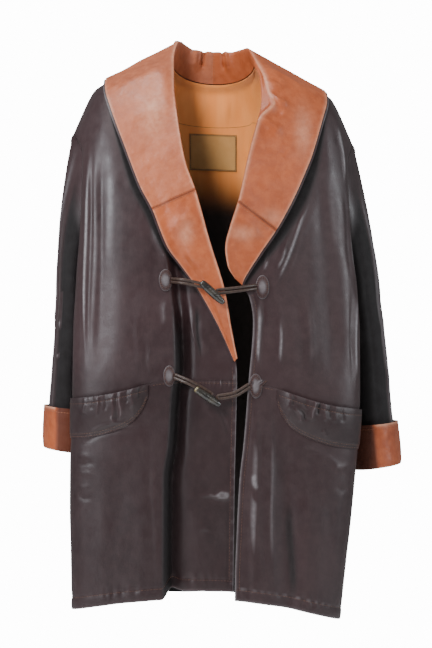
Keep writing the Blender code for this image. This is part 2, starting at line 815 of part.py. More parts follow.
def wall(panel, thickness, look):
    """A thin wall from a panel's grid and its directions into the thickness."""
    rows, columns = panel.points.shape[:2]
    inner = panel.points + panel.inward * thickness
    vertices = np.concatenate([panel.points.reshape(-1, 3), inner.reshape(-1, 3)])
    count = rows * columns
    faces = panel.faces()
    faces += [tuple(n + count for n in face[::-1]) for face in panel.faces()]
    last = columns if panel.closed else columns - 1
    for j in (0, rows - 1):
        for i in range(last):
            a, b = j * columns + i, j * columns + (i + 1) % columns
            faces += halves(a, b, b + count, a + count)
    if not panel.closed:
        for i in (0, columns - 1):
            for j in range(rows - 1):
                a, b = j * columns + i, (j + 1) * columns + i
                faces += halves(a, b, b + count, a + count)
    return add_object(panel.name, vertices, faces, look)


def front_columns(side):
    """Shares across a front where its columns lie, closer together at the fold with the patches."""
    even = np.linspace(0, 1, COLUMNS_ACROSS_FRONT + 1)
    if side == RIGHT:
        return np.interp(even, (0, 0.10, 0.50, 1), (0, 0.17, 0.36, 1))
    return np.interp(even, (0, 0.40, 1), (0, 0.32, 1))


def front_panels(side, sheet, name):
    """The upper and lower panel of one front, which meet at the waist seam."""
    across = front_columns(side)
    waist = np.interp(across, *waist_up(sheet))
    side_waist = waist[-1]
    lower = np.linspace(0, 1, ROWS_LOWER + 1)
    ups = np.concatenate([
        np.linspace(side_waist, UNDERARM_UP, ROWS_TO_UNDERARM + 1),
        np.linspace(UNDERARM_UP, 1, ROWS_ARMHOLE + 1)[1:],
    ])
    upper = (ups - side_waist) / (1 - side_waist)
    low_up = lower[:, None] * waist[None, :]
    high_up = waist[None, :] + (1 - waist[None, :]) * upper[:, None]
    pieces = []
    for part, up in (("lower", low_up), ("upper", high_up)):
        points, out = sheet.at(np.broadcast_to(across, up.shape), up)
        panel = Panel(f"front_{name}_{part}", points, -out)
        if part == "lower":
            panel.halved = [np.s_[:, -1]]
        else:
            panel.halved = [np.s_[: ROWS_TO_UNDERARM + 1, -1], np.s_[-1]]
        panel.even_out()
        pieces.append(panel)
    return pieces, side_waist


def back_panel(strips, waists):
    """The whole back from side seam to side seam."""
    side_waist = waists[RIGHT]
    ups = np.concatenate([
        np.linspace(0, side_waist, ROWS_LOWER // 2 + 1),
        np.linspace(side_waist, UNDERARM_UP, ROWS_TO_UNDERARM // 2 + 1)[1:],
        np.linspace(UNDERARM_UP, 1, ROWS_ARMHOLE + 1)[1:],
    ])
    runs = []
    for side in (RIGHT, LEFT):
        inner = np.linspace(0, 1, COLUMNS_NECK + 1)
        outer = front_columns(side)[::2]
        a = strips[side, "inner"].at(*np.meshgrid(inner, ups))
        b = strips[side, "outer"].at(*np.meshgrid(outer[1:], ups))
        points = np.concatenate([a[0], b[0]], axis=1)
        out = np.concatenate([a[1], b[1]], axis=1)
        runs.append((points, out))
    points = np.concatenate([runs[0][0][:, :0:-1], runs[1][0]], axis=1)
    out = np.concatenate([runs[0][1][:, :0:-1], runs[1][1]], axis=1)
    return Panel("back", points, -out)


def back_halves(back):
    """The lower and upper piece of the back, which meet at the waist seam."""
    seam = ROWS_LOWER // 2
    return [
        Panel("back_lower", back.points[: seam + 1], back.inward[: seam + 1]),
        Panel("back_upper", back.points[seam:], back.inward[seam:]),
    ]


def sleeve_ring(side, z, turns):
    """A ring of the sleeve below the armhole."""
    rows = SLEEVES[side]
    size = {name: smooth(-rows["z"], rows[name], -z) for name in rows}
    middle = size["outer"] - size["half_out"]
    out = middle + size["half_out"] * np.cos(turns)
    y = size["middle_y"] - size["half_y"] * np.sin(turns)
    return np.stack([side * out, y, z + size["tilt"] * (out - middle)], axis=1)


def face_tree(panels, thickness=0.0):
    """A search tree over the outer faces of panels, or over their faces at a depth into them."""
    vertices, polygons = [], []
    for panel in panels:
        grid = panel.points + panel.inward * thickness
        start = len(vertices)
        flat = grid.reshape(-1, 3)
        a, b, c = panel.faces()[0][:3]
        facing = np.cross(flat[b] - flat[a], flat[c] - flat[b])
        flip = (np.dot(facing, panel.inward[0, 0]) > 0) != (thickness > 0)
        vertices += [tuple(v) for v in flat]
        for face in panel.faces():
            face = face[::-1] if flip else face
            polygons.append(tuple(start + n for n in face))
    return BVHTree.FromPolygons(vertices, polygons)


def push_off(points, tree, least, most=None):
    """Moves points off the panels until they stand off by at least, and at most, a distance."""
    moved = points.copy()
    for _ in range(3):
        for index in np.ndindex(moved.shape[:-1]):
            place, facing, _, far = tree.find_nearest(moved[index])
            gap = float(np.dot(moved[index] - np.array(place), facing))
            if far**2 - gap**2 > BESIDE**2:
                continue
            goal = max(gap, least[index])
            if most is not None:
                goal = min(goal, most[index])
            moved[index] += (goal - gap) * np.array(facing)
    return moved


def clear(panel, thickness, tree, ways, held=0):
    """Moves the points of faces that cut the panels in the tree until none does."""
    columns = panel.points.shape[1]
    faces = panel.faces()
    for _ in range(CLEAR_ROUNDS):
        grid = (panel.points + panel.inward * thickness).reshape(-1, 3)
        own = BVHTree.FromPolygons([tuple(v) for v in grid], faces)
        cut = {n for face, _ in own.overlap(tree) for n in faces[face]}
        if not cut:
            break
        for n in cut:
            if n // columns >= held:
                panel.points[n // columns, n % columns] += CLEAR_STEP * ways[n // columns, n % columns]


def sleeve_panel(side, name, tree):
    """The sleeve as one tube from the armhole to inside the cuff."""
    count = 2 * ROWS_ARMHOLE
    turns = np.linspace(0, 2 * np.pi, count, endpoint=False)
    loop = []
    for k in range(count):
        facing = -1 if k <= ROWS_ARMHOLE else 1
        turn = k / ROWS_ARMHOLE if k <= ROWS_ARMHOLE else (count - k) / ROWS_ARMHOLE
        out, y, z = armhole(side, turn, facing)
        loop.append((side * out, y, z))
    loop = np.array(loop)
    first, last = SLEEVES[side]["z"][0], SLEEVES[side]["z"][-1]
    goal = sleeve_ring(side, first, turns)
    rings = []
    for b in np.linspace(0, 1, SLEEVE_TOP_ROWS + 1)[:-1]:
        ring = loop + (goal - loop) * b
        ring[:, :2] = loop[:, :2] + (goal - loop)[:, :2] * (1 - (1 - b) ** SLEEVE_SWELL[side])
        rings.append(ring)
    for z in np.linspace(first, last, SLEEVE_LOW_ROWS + 1):
        rings.append(sleeve_ring(side, z, turns))
    points = np.stack(rings)
    ramp = np.minimum((np.arange(len(rings)) + 1) / 4, 1) * SLEEVE_CLEARANCE
    least = np.broadcast_to(ramp[:, None], points.shape[:2])
    points[1:] = push_off(points[1:], tree, least[1:])
    around = np.roll(points, -1, axis=1) - np.roll(points, 1, axis=1)
    along = np.gradient(points, axis=0)
    inward = unit(np.cross(around, along))
    middle = points.mean(axis=1, keepdims=True)
    inward *= np.sign(np.sum(inward * (middle - points), axis=(1, 2)))[:, None, None]
    panel = Panel(f"sleeve_{name}", points, inward, closed=True)
    clear(panel, -LAYER_GAP, tree, inward, held=1)
    return panel


def cuff_panel(side, name, sleeve):
    """The turned-back cuff round the end of a sleeve."""
    turns = np.linspace(0, 2 * np.pi, sleeve.points.shape[1], endpoint=False)
    end_z = SLEEVES[side]["z"][-1]
    rings, ways = [], []
    for rise, off in zip(CUFF["rise"], CUFF["off"]):
        ring = sleeve_ring(side, max(end_z, end_z + rise), turns)
        ring[:, 2] += min(rise, 0.0)
        around = np.roll(ring, -1, axis=0) - np.roll(ring, 1, axis=0)
        away = unit(np.cross(around, np.array([0.0, 0.0, 1.0])))
        away *= np.sign(np.sum(away * (ring - ring.mean(axis=0))))
        rings.append(ring + away * off)
        lip = ease((rise + CUFF_LIP) / CUFF_LIP_BEND)
        ways.append(unit(-away * lip + np.array([0.0, 0.0, 1.0]) * (1 - lip)))
    return Panel(f"cuff_{name}", np.stack(rings), np.stack(ways), closed=True)


def neckline(side, front, back):
    """Points just past the neck seam from the centre back down the opening edge."""
    middle = back.points.shape[1] // 2
    picked = slice(middle, middle + side * (COLUMNS_NECK + 1), side)
    edges = [back.points[-1, picked], front.points[::-1, 0]]
    inner = [back.points[-2, picked], front.points[::-1, 1]]
    line = []
    for edge, beside in zip(edges, inner):
        moved = edge + COLLAR_SEAM_GAP * unit(edge - beside)
        line.append(spaced(moved, np.linspace(0, 1, 600)))
    return np.concatenate(line)


def collar_grid(side, front, back, tree):
    """The underside of the collar as a grid, centre back to its end and seam to outer edge."""
    rows = COLLARS[side]
    count = len(rows["roll_z"])
    line = neckline(side, front, back)
    known = {}
    for part in ("seam", "roll", "edge"):
        place = np.stack([side * rows[f"{part}_out"], rows[f"{part}_y"], rows[f"{part}_z"]], axis=1)
        known[part] = place
    for n in range(count):
        near = np.linalg.norm(line - known["seam"][n], axis=1)
        known["seam"][n] = line[int(np.argmin(near))]
    along = np.concatenate([COLLAR_UPPER, np.linspace(CROSS_SEAM_ROW, count - 1, COLLAR_ROWS_LOWER + 1)[1:]])
    fine = {
        part: np.stack([smooth(np.arange(count), known[part][:, k], along) for k in range(3)], axis=1)
        for part in known
    }
    for n in range(len(along)):
        near = np.linalg.norm(line - fine["seam"][n], axis=1)
        fine["seam"][n] = line[int(np.argmin(near))]
    seam, roll, edge = fine["seam"], fine["roll"], fine["edge"]
    loose = COLLAR_END_LOOSE * ease((along - count + 1) / COLLAR_END_ROWS + 1)[:, None]
    seam = seam + loose * (roll - seam)
    stand = seam + COLLAR_STAND * (roll - seam)
    early = roll + COLLAR_EARLY * (edge - roll)
    late = roll + COLLAR_LATE * (edge - roll)
    steps = np.array(COLLAR_STEPS)
    controls = np.stack([seam, stand, roll, early, late, edge])
    grid = np.zeros((len(along), len(steps), 3))
    for n in range(len(along)):
        for k in range(3):
            grid[n, :, k] = smooth(COLLAR_KNOTS, controls[:, n, k], steps)
    lift = smooth(COLLAR_LIFT["step"], COLLAR_LIFT["lift"], steps)
    end = ease((count - 1 - along) / COLLAR_END_ROWS)[:, None]
    lift = COLLAR_EDGE_LIFT + np.maximum(lift - COLLAR_EDGE_LIFT, 0) * end
    fall = steps >= COLLAR_FALL_FROM
    most = np.where(steps >= COLLAR_LIES_FROM, lift + COLLAR_LOOSE, 1.0)
    grid[:, fall] = push_off(grid[:, fall], tree, lift[:, fall], most[:, fall])
    low = (steps > 0) & ~fall
    grid[:, low] = push_off(grid[:, low], tree, np.full((len(along), int(low.sum())), COLLAR_STAND_LIFT))
    return grid


def collar_panels(side, name, front, back, tree):
    """Upper and lower collar piece and the undercollar of one side."""
    grid = collar_grid(side, front, back, tree)
    grid[0, :, 0] = 0.0
    up = normals(grid)
    up *= np.sign(np.dot(up[2, -2], tree.find_nearest(grid[2, -2])[1]))
    up[0] = unit(up[0] * np.array([0.0, 1.0, 1.0]))
    first = COLLAR_STEPS.index(UNDERCOLLAR_FROM)
    stand = Panel("stand", grid[:, : first + 1], up[:, : first + 1])
    clear(stand, -LAYER_GAP, tree, up)
    clear(stand, COLLAR_LEATHER + LAYER_GAP, tree, up)
    grid[:, : first + 1] = stand.points
    rim = grid[:, -1] + UNDERCOLLAR_RIM * unit(grid[:, -1] - grid[:, -2])
    fall = Panel("fall", np.concatenate([grid[:, first:], rim[:, None]], axis=1),
                 np.concatenate([up[:, first:], up[:, -1:]], axis=1))
    clear(fall, -UNDERCOLLAR_LEATHER - 2 * LAYER_GAP, tree, fall.inward)
    grid[:, first:] = fall.points[:, :-1]
    split = len(COLLAR_UPPER) - 1
    pieces = []
    for part, piece in (("upper", slice(0, split + 1)), ("lower", slice(split, None))):
        panel = Panel(f"collar_{name}_{part}", grid[piece], up[piece])
        panel.points[0] += SEAM_GAP / 2 * unit(panel.points[1] - panel.points[0])
        if part == "upper":
            panel.points[-1] += SEAM_GAP / 2 * unit(panel.points[-2] - panel.points[-1])
        pieces.append(panel)
    under = Panel(f"undercollar_{name}", (fall.points - fall.inward * LAYER_GAP)[:-1], -fall.inward[:-1])
    under.points[0] += SEAM_GAP / 2 * unit(under.points[1] - under.points[0])
    return pieces, under


def pocket_panel(side, name, sheet, tree):
    """The pouch on a front, from its gathered mouth at the waist seam to its curved lower seam."""
    corner = sheet.find(POCKET_CORNER_OUT, float(smooth(WAIST["out"], WAIST["z"], POCKET_CORNER_OUT)))
    shares, waist = waist_up(sheet)
    columns = front_columns(side)
    columns = np.sort(np.concatenate([columns, (columns[1:] + columns[:-1]) / 2]))
    inside = (columns > corner[0] + POCKET_CORNER_STEP) & (columns < POCKET_END)
    across = np.concatenate([[corner[0]], columns[inside]])
    along = (across - across[0]) / (across[-1] - across[0])
    top = np.interp(across, shares, waist)
    drop = smooth(POCKET["along"], POCKET["drop"], along)
    points = np.zeros((POCKET_ROWS + 1, len(across), 3))
    out = np.zeros_like(points)
    for i, a in enumerate(across):
        mouth = sheet.at(np.array([a]), np.array([top[i]]))[0][0]
        low = sheet.up_at(a, mouth[2] - drop[i])
        for j in range(POCKET_ROWS + 1):
            up = low + (top[i] - POCKET_BELOW_SEAM - low) * j / POCKET_ROWS
            place, facing = sheet.at(np.array([a]), np.array([up]))
            rise = j / POCKET_ROWS
            side_fade = ease(along[i] / POCKET_FADE_IN) * ease((1 - along[i]) / POCKET_FADE_OUT)
            puff = POCKET_PUFF * math.sin(rise * math.pi * POCKET_PUFF_TURN) * side_fade
            wave = math.cos(2 * math.pi * POCKET_GATHERS * along[i]) * rise**2
            lift = LEATHER + puff + POCKET_GATHER_DEPTH * (1 + wave) * side_fade * rise
            points[j, i] = place[0] + facing[0] * lift
            out[j, i] = facing[0]
    points = push_off(points, tree, np.full(points.shape[:2], LEATHER + LOOSE_GAP))
    panel = Panel(f"pocket_{name}", points, -out)
    clear(panel, LEATHER + LAYER_GAP, tree, out)
    return panel


def lining_panels(back):
    """Lining in the back of the neck, in a yoke and a lower piece, made from the back moved inward."""
    columns = back.points.shape[1]
    keep = slice(LINING_FROM_SIDE, columns - LINING_FROM_SIDE)
    inward = back.inward[:, keep].copy()
    points = back.points[:, keep] + inward * (LEATHER + LOOSE_GAP)
    points[0] += LINING_SHORT * (points[1] - points[0])
    inside = face_tree([back], LEATHER)
    heights = points[:, points.shape[1] // 2, 2]
    seam = int(np.argmin(np.abs(heights - LINING_YOKE_Z)))
    pieces = []
    for name, rows in (("lining_back", slice(0, seam + 1)), ("lining_yoke", slice(seam, None))):
        panel = Panel(name, points[rows], inward[rows])
        panel.draw_in(SEAM_GAP / 2)
        clear(panel, -LAYER_GAP, inside, panel.inward)
        pieces.append(panel)
    return pieces


def label_panel(lining):
    """The bare label on the lining below its yoke seam."""
    inner = lining.points + lining.inward * (LINING_CLOTH + LOOSE_GAP)
    grid = np.concatenate([inner, lining.inward], axis=2)
    points = np.zeros((LABEL_ROWS + 1, LABEL_COLUMNS + 1, 6))
    for j, z in enumerate(np.linspace(LABEL_TOP_Z - LABEL_HIGH, LABEL_TOP_Z, LABEL_ROWS + 1)):
        row = np.array([[np.interp(z, line[:, 2], c) for c in line.T] for line in np.moveaxis(grid, 1, 0)])
        for i, x in enumerate(np.linspace(-LABEL_WIDE / 2, LABEL_WIDE / 2, LABEL_COLUMNS + 1)):
            points[j, i] = [np.interp(x, row[:, 0], c) for c in row.T]
    tree = face_tree([lining], LINING_CLOTH)
    least = np.full(points.shape[:2], LOOSE_GAP)
    return Panel("label", push_off(points[..., :3], tree, least), unit(points[..., 3:]))


def patch_solid(name, sheets, tree):
    """An oval patch that lies on a front, made from the panel's points and a little stiffer than it."""
    side, out, z, half_wide, half_high = PATCHES[name]
    sheet = sheets[side]
    spots = [(0.0, 0.0)]
    for share in PATCH_RINGS:
        for n in range(PATCH_SIDES):
            angle = 2 * math.pi * n / PATCH_SIDES
            spots.append((half_wide * share * math.cos(angle), half_high * share * math.sin(angle)))
    found = [sheet.at(*np.array([sheet.find(out + a, z + b)]).T) for a, b in spots]
    places = np.array([place[0] for place, _ in found])
    facing = unit(np.mean([way[0] for _, way in found], axis=0))
    deep = (places[0] - places) @ facing
    places = places + np.outer(deep * PATCH_STIFFNESS, facing)
    places = push_off(places, tree, np.full(len(places), LOOSE_GAP))
    count = len(spots)
    faces = [(0, 1 + n, 1 + (n + 1) % PATCH_SIDES) for n in range(PATCH_SIDES)]
    for n in range(PATCH_SIDES):
        a, b = 1 + n, 1 + (n + 1) % PATCH_SIDES
        faces += halves(a, a + PATCH_SIDES, b + PATCH_SIDES, b)
    while BVHTree.FromPolygons([tuple(v - facing * LAYER_GAP) for v in places], faces).overlap(tree):
        places = places + facing * CLEAR_STEP
    tops = places + facing * PATCH_LEATHER
    faces += [tuple(n + count for n in face) for face in faces]
    for n in range(PATCH_SIDES):
        a, b = 1 + PATCH_SIDES + n, 1 + PATCH_SIDES + (n + 1) % PATCH_SIDES
        faces += halves(a, b, b + count, a + count)
    add_object(name, np.concatenate([places, tops]), faces, DARK_LEATHER)
    return tops[0], facing


def tube(name, line, radius, sides, look):
    """A closed round rod along a line; radius may change along it."""
    line = np.array(line, float)
    radius = np.broadcast_to(np.asarray(radius, float), (len(line),))
    ahead = unit(np.gradient(line, axis=0))
    across = unit(np.cross(ahead[0], np.array([0.0, 1.0, 0.1])))
    vertices, faces = [], []
    for n, point in enumerate(line):
        across = unit(across - ahead[n] * np.dot(across, ahead[n]))
        other = np.cross(ahead[n], across)
        for k in range(sides):
            angle = 2 * math.pi * k / sides
            vertices.append(point + radius[n] * (math.cos(angle) * across + math.sin(angle) * other))
    for n in range(len(line) - 1):
        for k in range(sides):
            m = (k + 1) % sides
            faces += halves(n * sides + k, n * sides + m, (n + 1) * sides + m, (n + 1) * sides + k)
    faces.append(tuple(range(sides)))
    faces.append(tuple(range((len(line) - 1) * sides, len(line) * sides)))
    return add_object(name, np.array(vertices), faces, look)


def cord_line(start, facing, middle, end):
    """A doubled cord that leaves a patch, runs to the toggle and comes back beside itself."""
    first = start + facing * (CORD_RADIUS + LAYER_GAP)
    bend = np.array([middle[0], CORD_DEPTH + CORD_SAG, middle[1]])
    last = np.array([end[0], CORD_DEPTH, end[1]])
    knots = (0.0, 0.5, 1.0)
    shares = np.linspace(0, 1, CORD_STEPS // 2)
    path = np.stack([smooth(knots, [first[k], bend[k], last[k]], shares) for k in range(3)], axis=1)
    ahead = unit(np.gradient(path, axis=0))
    aside = unit(np.cross(ahead, np.array([0.0, 1.0, 0.0])))
    upper = path + aside * STRAND_OFFSET
    lower = path - aside * STRAND_OFFSET
    round_end = path[-1] + ahead[-1] * STRAND_OFFSET
    return np.concatenate([upper, [round_end], lower[::-1]])


def toggle_solid(name):
    """A tapered horn toggle that lies in front of its cords."""
    (x0, z0), (x1, z1), sink = TOGGLES[name]
    thickest = float(TOGGLE_SHAPE["radius"].max())
    depth = CORD_DEPTH - CORD_RADIUS - thickest - LAYER_GAP + sink
    shares = TOGGLE_SHAPE["along"]
    line = np.stack([x0 + (x1 - x0) * shares, np.full(len(shares), depth), z0 + (z1 - z0) * shares], axis=1)
    tube(name, line, TOGGLE_SHAPE["radius"], TOGGLE_SIDES, HORN)


def main():
    """Builds every piece of the jacket."""
    for old in list(bpy.data.objects):
        bpy.data.objects.remove(old, do_unlink=True)
    names = {RIGHT: "right", LEFT: "left"}
    fronts = {side: front_sheet(side) for side in names}
    strips = back_sheets()
    torso, waists, uppers = [], {}, {}
    for side, name in names.items():
        pieces, waists[side] = front_panels(side, fronts[side], name)
        torso += pieces
        uppers[side] = pieces[1]
    back = back_panel(strips, waists)
    torso.append(back)
    sleeves = {side: sleeve_panel(side, name, face_tree(torso)) for side, name in names.items()}
    panels = [*torso, *sleeves.values()]
    meet(panels)
    for panel in panels:
        panel.even_out()
    lining = lining_panels(back)
    back_parts = back_halves(back)
    for panel in [*panels, *back_parts]:
        panel.draw_in(SLEEVE_SEAM_GAP if panel.closed else SEAM_GAP / 2)
        if panel is not back:
            wall(panel, LEATHER, DARK_LEATHER)
    for panel in lining:
        wall(panel, LINING_CLOTH, LINING_SATIN)
    wall(label_panel(lining[0]), LABEL_LEATHER, LABEL_HIDE)
    tree = face_tree(torso)
    for side, name in names.items():
        wall(cuff_panel(side, name, sleeves[side]), LEATHER, TAN_LEATHER)
        wall(pocket_panel(side, name, fronts[side], tree), LEATHER, DARK_LEATHER)
        pieces, under = collar_panels(side, name, uppers[side], back, tree)
        for piece in pieces:
            wall(piece, COLLAR_LEATHER, TAN_LEATHER)
        wall(under, UNDERCOLLAR_LEATHER, DARK_LEATHER)
    for name, (patch, middle, end) in CORDS.items():
        start, facing = patch_solid(patch, fronts, tree)
        tube(name, cord_line(start, facing, middle, end), CORD_RADIUS, CORD_SIDES, CORD_LEATHER)
    for name in TOGGLES:
        toggle_solid(name)


main()
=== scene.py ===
"""Looks of a thigh-length leather jacket that hangs filled out and empty, over the shared CAD frame.

Dark brown leather body and sleeves, a wide tan shawl collar, tan turned-back cuffs, pouch pockets, a golden
lining in the neck and two horn toggles on leather cords. Z is up, the front faces -Y. Left and right are the
wearer's. "Out" is the distance from the middle towards a side. Lengths are in metres, in the tables in mm.
"""

import logging
import math
from dataclasses import dataclass, field
from enum import Enum

import bpy
import numpy as np
from bpy.types import Material, Node, NodeSocket, Object
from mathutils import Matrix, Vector
from mathutils.bvhtree import BVHTree


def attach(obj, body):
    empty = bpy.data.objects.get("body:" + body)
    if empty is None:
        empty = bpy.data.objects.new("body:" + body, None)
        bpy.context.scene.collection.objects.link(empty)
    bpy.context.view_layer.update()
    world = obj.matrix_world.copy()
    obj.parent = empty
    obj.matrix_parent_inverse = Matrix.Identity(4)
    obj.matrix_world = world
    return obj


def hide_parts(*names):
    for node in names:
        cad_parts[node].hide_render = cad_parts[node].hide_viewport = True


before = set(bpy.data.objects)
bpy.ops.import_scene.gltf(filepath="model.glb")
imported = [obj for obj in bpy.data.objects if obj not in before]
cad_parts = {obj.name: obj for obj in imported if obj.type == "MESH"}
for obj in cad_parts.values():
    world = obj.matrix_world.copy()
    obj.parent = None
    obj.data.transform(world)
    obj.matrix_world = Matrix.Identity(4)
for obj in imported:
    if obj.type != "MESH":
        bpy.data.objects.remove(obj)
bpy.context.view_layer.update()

LOG = logging.getLogger("jacket")

Triple = tuple[float, float, float]
Pair = tuple[float, float]
Array = np.ndarray
Table = dict[str, Array]
Faces = list[tuple[int, ...]]

HANG_SLOPE = 0.037
ROOT = "root"
MM = 0.001
# Strength of the painted highlight on crease ridges
RIDGE_HIGHLIGHT = 0.75
ROLL_STEP = 0.25
SHARP_ANGLE = math.radians(58)


class Side(Enum):
    """The wearer's two sides by the sign of X."""

    RIGHT = -1
    LEFT = 1

    @property
    def word(self) -> str:
        """The side as it stands in the names of pieces."""
        return self.name.lower()


class Slot(Enum):
    """Material slots of the part's record."""

    DARK = "dark_leather"
    TAN = "tan_leather"
    LINING = "lining_cloth"
    LABEL = "label_leather"
    CORD = "cord_leather"
    HORN = "horn"


class Hold(Enum):
    """Ways in which a piece of cloth is held."""

    HUNG = "hung"
    FOLDED = "folded"
    GATHERED = "gathered"
    LAID = "laid"


def table(columns: str, rows: tuple[tuple[float, ...], ...], plain: str = "") -> Table:
    """Named columns of a short table, with lengths in mm and the columns named as plain as they stand."""
    units = {name: 1.0 if name in plain.split() else MM for name in columns.split()}
    return {name: np.array(row, float) * units[name] for name, row in zip(units, zip(*rows))}


BODY = table("up side_z rise share front_y back_y tuck wrap", (
    (0, -879, 34, 0, -149, 138, 40, 66), (0.14, -767, 16, 0, -147, 134, 42, 68),
    (0.28, -655, 4, 0, -144, 130, 43, 70), (0.45, -520, 0, 0, -140, 126, 42, 69),
    (0.6, -398, 0, 0, -136, 122, 34, 62), (0.72, -300, 0, 0.02, -131, 118, 22, 60),
    (0.78, -262, 0, 0.11, -129, 116, 9, 28), (0.84, -221, 0, 0.26, -122, 108, 3, 14),
    (0.92, -134, 0, 0.62, -92, 84, 1, 6), (0.97, -102, 0, 0.87, -51, 50, 1, 2),
    (1, -96, 0, 1, 0, 0, 0, 0),
), "up share")
SILHOUETTE = table("z right left", (
    (-880, 233.5, 210), (-780, 235, 220.5), (-720, 236.5, 227.5), (-640, 236, 235), (-580, 233.5, 240),
    (-500, 232, 243), (-420, 231, 243), (-345, 227, 239.5), (-300, 224.5, 236),
))
ARMHOLE = table("turn share", (
    (0, 0), (0.12, 0.33), (0.25, 0.6), (0.5, 0.62), (0.7, 0.64), (0.85, 0.74), (1, 1),
), "turn share")
SHOULDER = table("out z", (
    (0, 36), (70, 36), (120, 18.5), (180, -4), (198, -16), (207, -30), (217, -51), (227, -74),
    (236.5, -96),
))
OPENINGS = {
    Side.RIGHT: table("z out", (
        (-880, -33), (-820, -33.4), (-640, -35.8), (-570, -37.4), (-490, -39.1), (-455, -37),
        (-410, -26.2), (-346, -13.9), (-266, 10.3), (-196, 29.7), (-140, 49.3), (-75, 61.2), (-12, 68.5),
        (36, 70),
    )),
    Side.LEFT: table("z out", (
        (-880, 35), (-820, 35.2), (-745, 38), (-655, 42.5), (-590, 49.6), (-490, 57.7), (-396, 64.9),
        (-356, 60), (-330, 42), (-310, 30), (-277, 25.8), (-241, 33.5), (-200, 46.5), (-125, 63),
        (-74, 73.5), (-30, 81.5), (5, 80), (36, 70),
    )),
}
RIDGE = table("z out drop gully", (
    (-880, 82.5, 24, 12), (-840, 83, 24, 12), (-655, 82.5, 18, 14), (-600, 75, 16, 16),
    (-510, 69, 14, 16), (-475, 64, 14, 16), (-400, 66.5, 12, 16), (-310, 76, 8, 10), (-270, 85, 2, 4),
    (-220, 100, 0, 0),
))
FOLD_COLUMNS = "top_out top_z low_out low_z width height"
FOLDS = {
    Side.RIGHT: table(FOLD_COLUMNS, (
        (180, -100, 186, -500, 22, -6), (152, -600, 158, -900, 19, -2.6), (112, -640, 116, -900, 18, 2.2),
        (196, -620, 200, -900, 18, -1.8), (30, -640, 20, -900, 18, 2.4),
    )),
    Side.LEFT: table(FOLD_COLUMNS, (
        (150, -190, 82, -360, 14, 5), (180, -140, 194, -500, 22, -6), (118, -560, 118, -900, 17, -7),
        (76, -500, 74, -900, 20, 3.6), (172, -640, 164, -900, 20, 2.6),
    )),
}
BACK_FOLDS = table(FOLD_COLUMNS, (
    (-120, -260, -135, -900, 22, 8), (-55, -400, -50, -900, 20, -9), (20, -330, 30, -900, 22, 8),
    (85, -420, 95, -900, 18, -8), (150, -280, 150, -900, 18, 7),
))
WAIST = table("out z", (
    (-60, -492), (60, -495), (105, -502), (130, -510), (165, -520), (205, -528), (250, -532),
))
POCKET = table("along drop", (
    (0, 22), (0.05, 42), (0.13, 56), (0.27, 63), (0.45, 66), (0.7, 67), (1, 68),
), "along")
SLEEVE_COLUMNS = "z outer half_out middle_y half_y tilt"
SLEEVES = {
    Side.RIGHT: table(SLEEVE_COLUMNS, (
        (-360, 267, 34, 56, 78, 0), (-450, 271.8, 35, 56, 75, 0.02), (-530, 278.5, 36, 56, 70, 0.06),
        (-624, 285, 38, 56, 66, 0.1),
    ), "tilt"),
    Side.LEFT: table(SLEEVE_COLUMNS, (
        (-350, 283.5, 34, 56, 78, 0.04), (-430, 293.5, 35, 56, 75, 0.08), (-530, 303.5, 37, 56, 70, 0.14),
        (-632, 316.5, 39, 56, 66, 0.18),
    ), "tilt"),
}
CUFF = table("rise off", (
    (-1.6, -0.8), (-0.8, 3.4), (6, 5.2), (36, 6.6), (72, 7.8),
))
COLLAR_COLUMNS = "seam_out seam_y seam_z roll_out roll_y roll_z edge_out edge_y edge_z"
COLLARS = {
    Side.RIGHT: table(COLLAR_COLUMNS, (
        (0, 72, 8, 0, 70, 57.5, 0, 118, -46), (42, 57, 16, 31, 60, 62.5, 85, 106, -42),
        (64, 26, 28, 47, 40, 68, 148, 60, -22), (70, 0, 36, 56, 16, 69, 179, 0, -2),
        (70, -36, 16, 65.6, -36, 35, 174, -40, -30), (68.5, -60, -12, 64.8, -74, -12, 166, -68, -56),
        (61.2, -95, -75, 57.2, -112, -74.6, 143, -100, -118),
        (49.3, -115, -140, 45.3, -133, -140.3, 116.5, -120, -185),
        (34, -122, -186, 29, -140, -186, 98.5, -128, -218),
        (10.3, -128, -266, 6.3, -146, -266.3, 73.5, -134, -278),
        (-13.9, -125, -346, -17.9, -146, -346.1, 22.4, -130, -348),
        (-26.2, -122, -410, -29.2, -140, -410.1, -13.1, -128, -411),
        (-37, -122, -455, -38.5, -131, -456, -35.5, -128, -461),
    )),
    Side.LEFT: table(COLLAR_COLUMNS, (
        (0, 72, 8, 0, 70, 57.5, 0, 118, -46), (42, 57, 16, 31, 60, 61.5, 85, 106, -42),
        (64, 26, 28, 47, 40, 65, 150, 60, -24), (70, 0, 36, 57, 16, 65.5, 188, 0, -4),
        (78, -36, 12, 76, -30, 28, 183, -40, -36), (81.5, -66, -30, 88, -76, -16, 175, -72, -70),
        (73.5, -94, -74, 74, -108, -66, 160, -94, -122),
        (63, -110, -125, 58.6, -128, -124.7, 137, -116, -180),
        (45.5, -122, -203, 41.3, -140, -202.6, 102.5, -130, -245.5),
        (33.5, -125, -241, 29.2, -143, -240.8, 77.5, -132, -283),
        (25.8, -128, -277, 21.1, -144, -276.5, 58.5, -134, -313),
        (30, -130, -310, 25, -142, -306, 49, -136, -330),
        (40, -131, -328, 37, -137, -327, 47, -136, -337),
    )),
}
COLLAR_LIFT = table("step lift", (
    (0, 0), (0.25, 10), (0.36, 10), (0.66, 6.5), (1, 3.4),
), "step")
TOGGLE_SHAPE = table("along radius", (
    (0, 3), (0.03, 4.8), (0.12, 6), (0.35, 6.8), (0.6, 6.6), (0.85, 5.4), (0.97, 3.8), (1, 2.2),
), "along")
